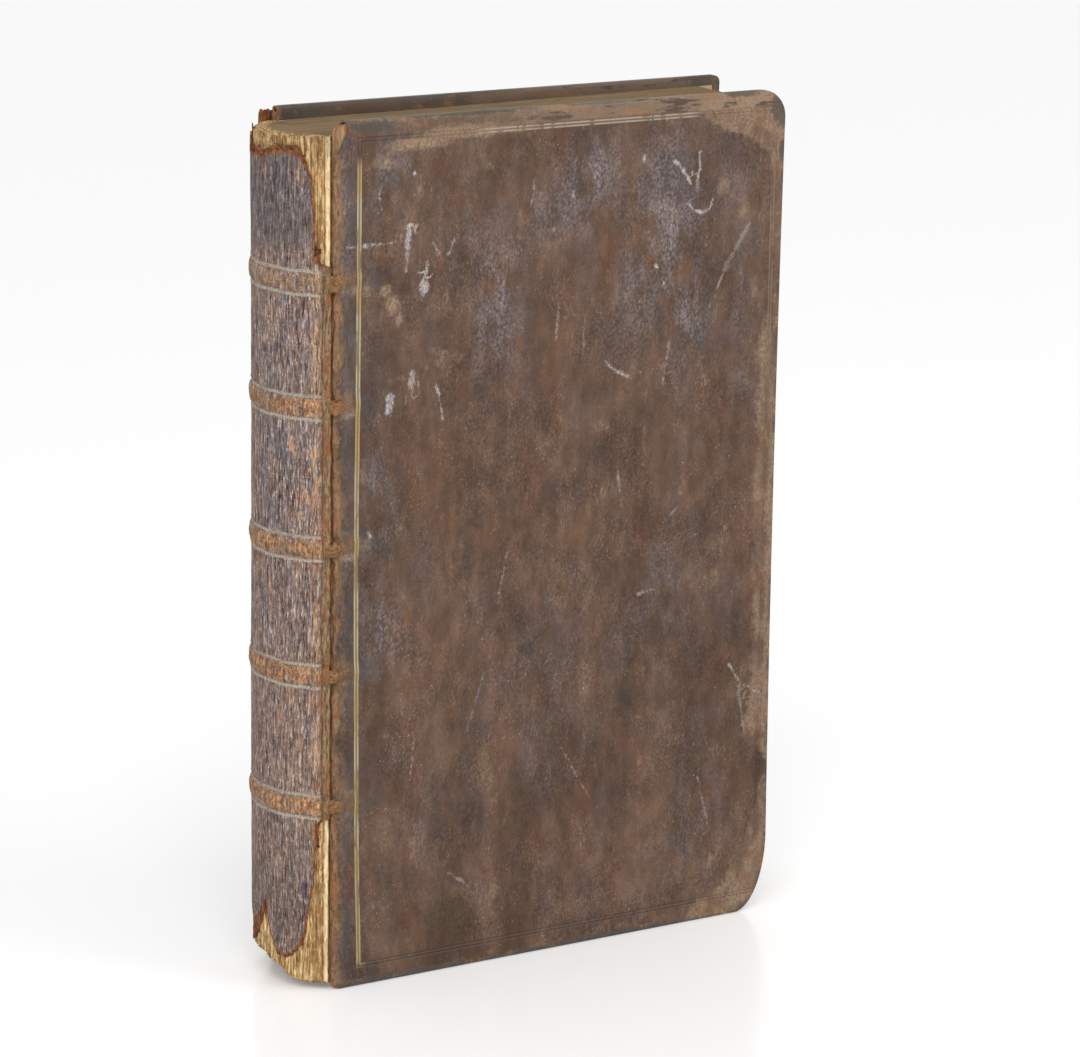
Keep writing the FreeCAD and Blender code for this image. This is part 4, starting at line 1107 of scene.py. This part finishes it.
def endpaper_finish():
    f = Finish("endpaper", 0.85, 0.2)
    clouds = f.noise(38, None, 5, 0.6)
    fibre = f.noise(0.8, f.place(1, 1, 0.4), 4, 0.7)
    f.tint = f.mix(f.step(clouds, 0.35, 0.7), (206, 190, 156), (176, 154, 116))
    f.lay(f.times(f.spots((0.66, 0.74), 5, None, 2), 0.5), (150, 112, 70))
    f.lay(f.times(f.step(fibre, 0.4, 0.7), 0.2), (160, 138, 104))
    return f.finish(f.plus(fibre, clouds), 0.12)


def cord_finish():
    f = Finish("hemp_cord", 0.9, 0.15)
    strands = f.noise(0.45, f.place(1, 1, 3, 0.6), 4, 0.7)
    f.tint = f.mix(f.step(strands, 0.35, 0.65), (112, 78, 46), (176, 136, 88))
    f.lay(f.times(f.spots((0.5, 0.7), 3, None, 3), 0.5), (128, 74, 40))
    return f.finish(strands, 0.35)


# Making the pieces

front_leather = cover_finish("cover_leather", True)
rear_leather = cover_finish("rear_cover_leather_finish", False)
pasteboard, paper, spine_look = board_finish(), pages_finish(), spine_finish()
endpaper, hemp = endpaper_finish(), cord_finish()


def dress(piece, finish):
    piece.data.materials.clear()
    piece.data.materials.append(finish)


def fit_out(piece, body, finish, slot_name, *replaced):
    dress(piece, finish)
    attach(piece, body)
    if replaced:
        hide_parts(*replaced)


fit_out(cover_skin("front_cover_skin", -1, True), "front_cover", front_leather, "cover_leather",
        "front_cover_leather")
fit_out(cover_skin("rear_cover_skin", 1, False), "rear_cover", rear_leather, "cover_leather",
        "rear_cover_leather")
fit_out(dressed_board("front_board_dressed", -1, 3.5, HEAD_R), "front_cover", pasteboard, "pasteboard",
        "front_board")
fit_out(dressed_board("rear_board_dressed", 1, 3.5, REAR_HEAD_R), "rear_cover", pasteboard, "pasteboard",
        "rear_board")
fit_out(pages(), "text_block", paper, "page_paper", "text_block")
fit_out(spine_skin(), "text_block", spine_look, "spine_leather", "spine_leather")
lining, bridge_look = lining_finish(), bridge_finish()
fit_out(torn_lining("head_lining", 286.0, HEIGHT), "text_block", lining, "spine_leather")
fit_out(torn_lining("tail_lining", 0.0, 70.0), "text_block", lining, "spine_leather")


def fit_joint(piece, finish):
    """Gives a piece its finish and makes its place part of its mesh."""
    dress(piece, finish)
    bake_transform(piece)


for number, z_band in enumerate(BANDS, 1):
    fit_joint(joint_bridge(number, z_band), bridge_look)
fit_joint(rear_joint(), rear_leather)
for name in ("front_flyleaf", "rear_flyleaf", "front_pastedown", "rear_pastedown"):
    dress(nodes[name], endpaper)
for name in ["sewing_cord_%d" % i for i in range(1, 6)] + ["front_cord_slips", "rear_cord_slips"]:
    dress(nodes[name], hemp)

# Floor, light and camera

# Half the floor's width in metres, its glow as the camera sees it, and the share of the room's light that
# reaches the book
FLOOR_REACH = 14.0
FLOOR_GLOW = 0.175
DIFFUSE_LIGHT = 0.62

floor_mesh = bpy.data.meshes.new("floor")
corners = [(x * FLOOR_REACH, y * FLOOR_REACH, 0) for x, y in ((-1, -1), (1, -1), (1, 1), (-1, 1))]
floor_mesh.from_pydata(corners, [], [(0, 1, 2, 3)])
floor = bpy.data.objects.new("floor", floor_mesh)
bpy.context.scene.collection.objects.link(floor)
floor_look = Finish("floor", 0.22, 0.25)
floor_look.put(floor_look.shader.inputs["Base Color"], (0.93, 0.93, 0.93, 1))
floor_look.put(floor_look.shader.inputs["Emission Color"], (1, 1, 1, 1))
camera_rays = floor_look.nodes.new("ShaderNodeLightPath").outputs["Is Camera Ray"]
floor_look.put(floor_look.shader.inputs["Emission Strength"], floor_look.times(camera_rays, FLOOR_GLOW))
floor_mesh.materials.append(floor_look.material)

world = bpy.data.worlds.new("studio")
bpy.context.scene.world = world
world.use_nodes = True
tree = world.node_tree
background = tree.nodes["Background"]
rays = tree.nodes.new("ShaderNodeLightPath")
seen = tree.nodes.new("ShaderNodeMath")
seen.operation = "MAXIMUM"
tree.links.new(rays.outputs["Is Camera Ray"], seen.inputs[0])
tree.links.new(rays.outputs["Is Glossy Ray"], seen.inputs[1])
level = tree.nodes.new("ShaderNodeMapRange")
level.inputs["To Min"].default_value = DIFFUSE_LIGHT
level.inputs["To Max"].default_value = 1.0
tree.links.new(seen.outputs[0], level.inputs["Value"])
tree.links.new(level.outputs[0], background.inputs["Strength"])
background.inputs["Color"].default_value = (1, 1, 1, 1)


def lamp(name, place, target, size, watts):
    data = bpy.data.lights.new(name, "AREA")
    data.shape, data.size, data.energy = "SQUARE", size, watts
    light = bpy.data.objects.new(name, data)
    bpy.context.scene.collection.objects.link(light)
    toward = Matrix.Translation(place).to_translation() - Matrix.Translation(target).to_translation()
    light.matrix_world = Matrix.Translation(place) @ toward.to_track_quat("Z", "Y").to_matrix().to_4x4()


lamp("key", (-1.1, -1.5, 1.9), (0, 0, 0.15), 1.4, 26)
lamp("fill", (1.5, -1.6, 1.2), (0, 0, 0.15), 1.6, 16)

azimuth, elevation, roll = math.radians(32.436), math.radians(13.564), math.radians(0.838)
level_part = math.cos(elevation)
forward = np.array([math.sin(azimuth) * level_part, math.cos(azimuth) * level_part, -math.sin(elevation)])
right = np.array([math.cos(azimuth), -math.sin(azimuth), 0])
upward = np.cross(right, forward)
level_right = math.cos(roll) * right + math.sin(roll) * upward
level_up = -math.sin(roll) * right + math.cos(roll) * upward
camera_data = bpy.data.cameras.new("camera")
camera_data.lens, camera_data.sensor_width, camera_data.sensor_fit = 144.27, 36.0, "HORIZONTAL"
camera_data.clip_start, camera_data.clip_end = 0.05, 60
camera = bpy.data.objects.new("camera", camera_data)
bpy.context.scene.collection.objects.link(camera)
axes = np.stack([level_right, level_up, -forward], axis=1)
spot = (-0.88253, -1.41331, 0.57105)
camera.matrix_world = Matrix([list(axes[i]) + [spot[i]] for i in range(3)] + [[0, 0, 0, 1]])
bpy.context.scene.camera = camera
bpy.context.scene.view_settings.view_transform = "Standard"
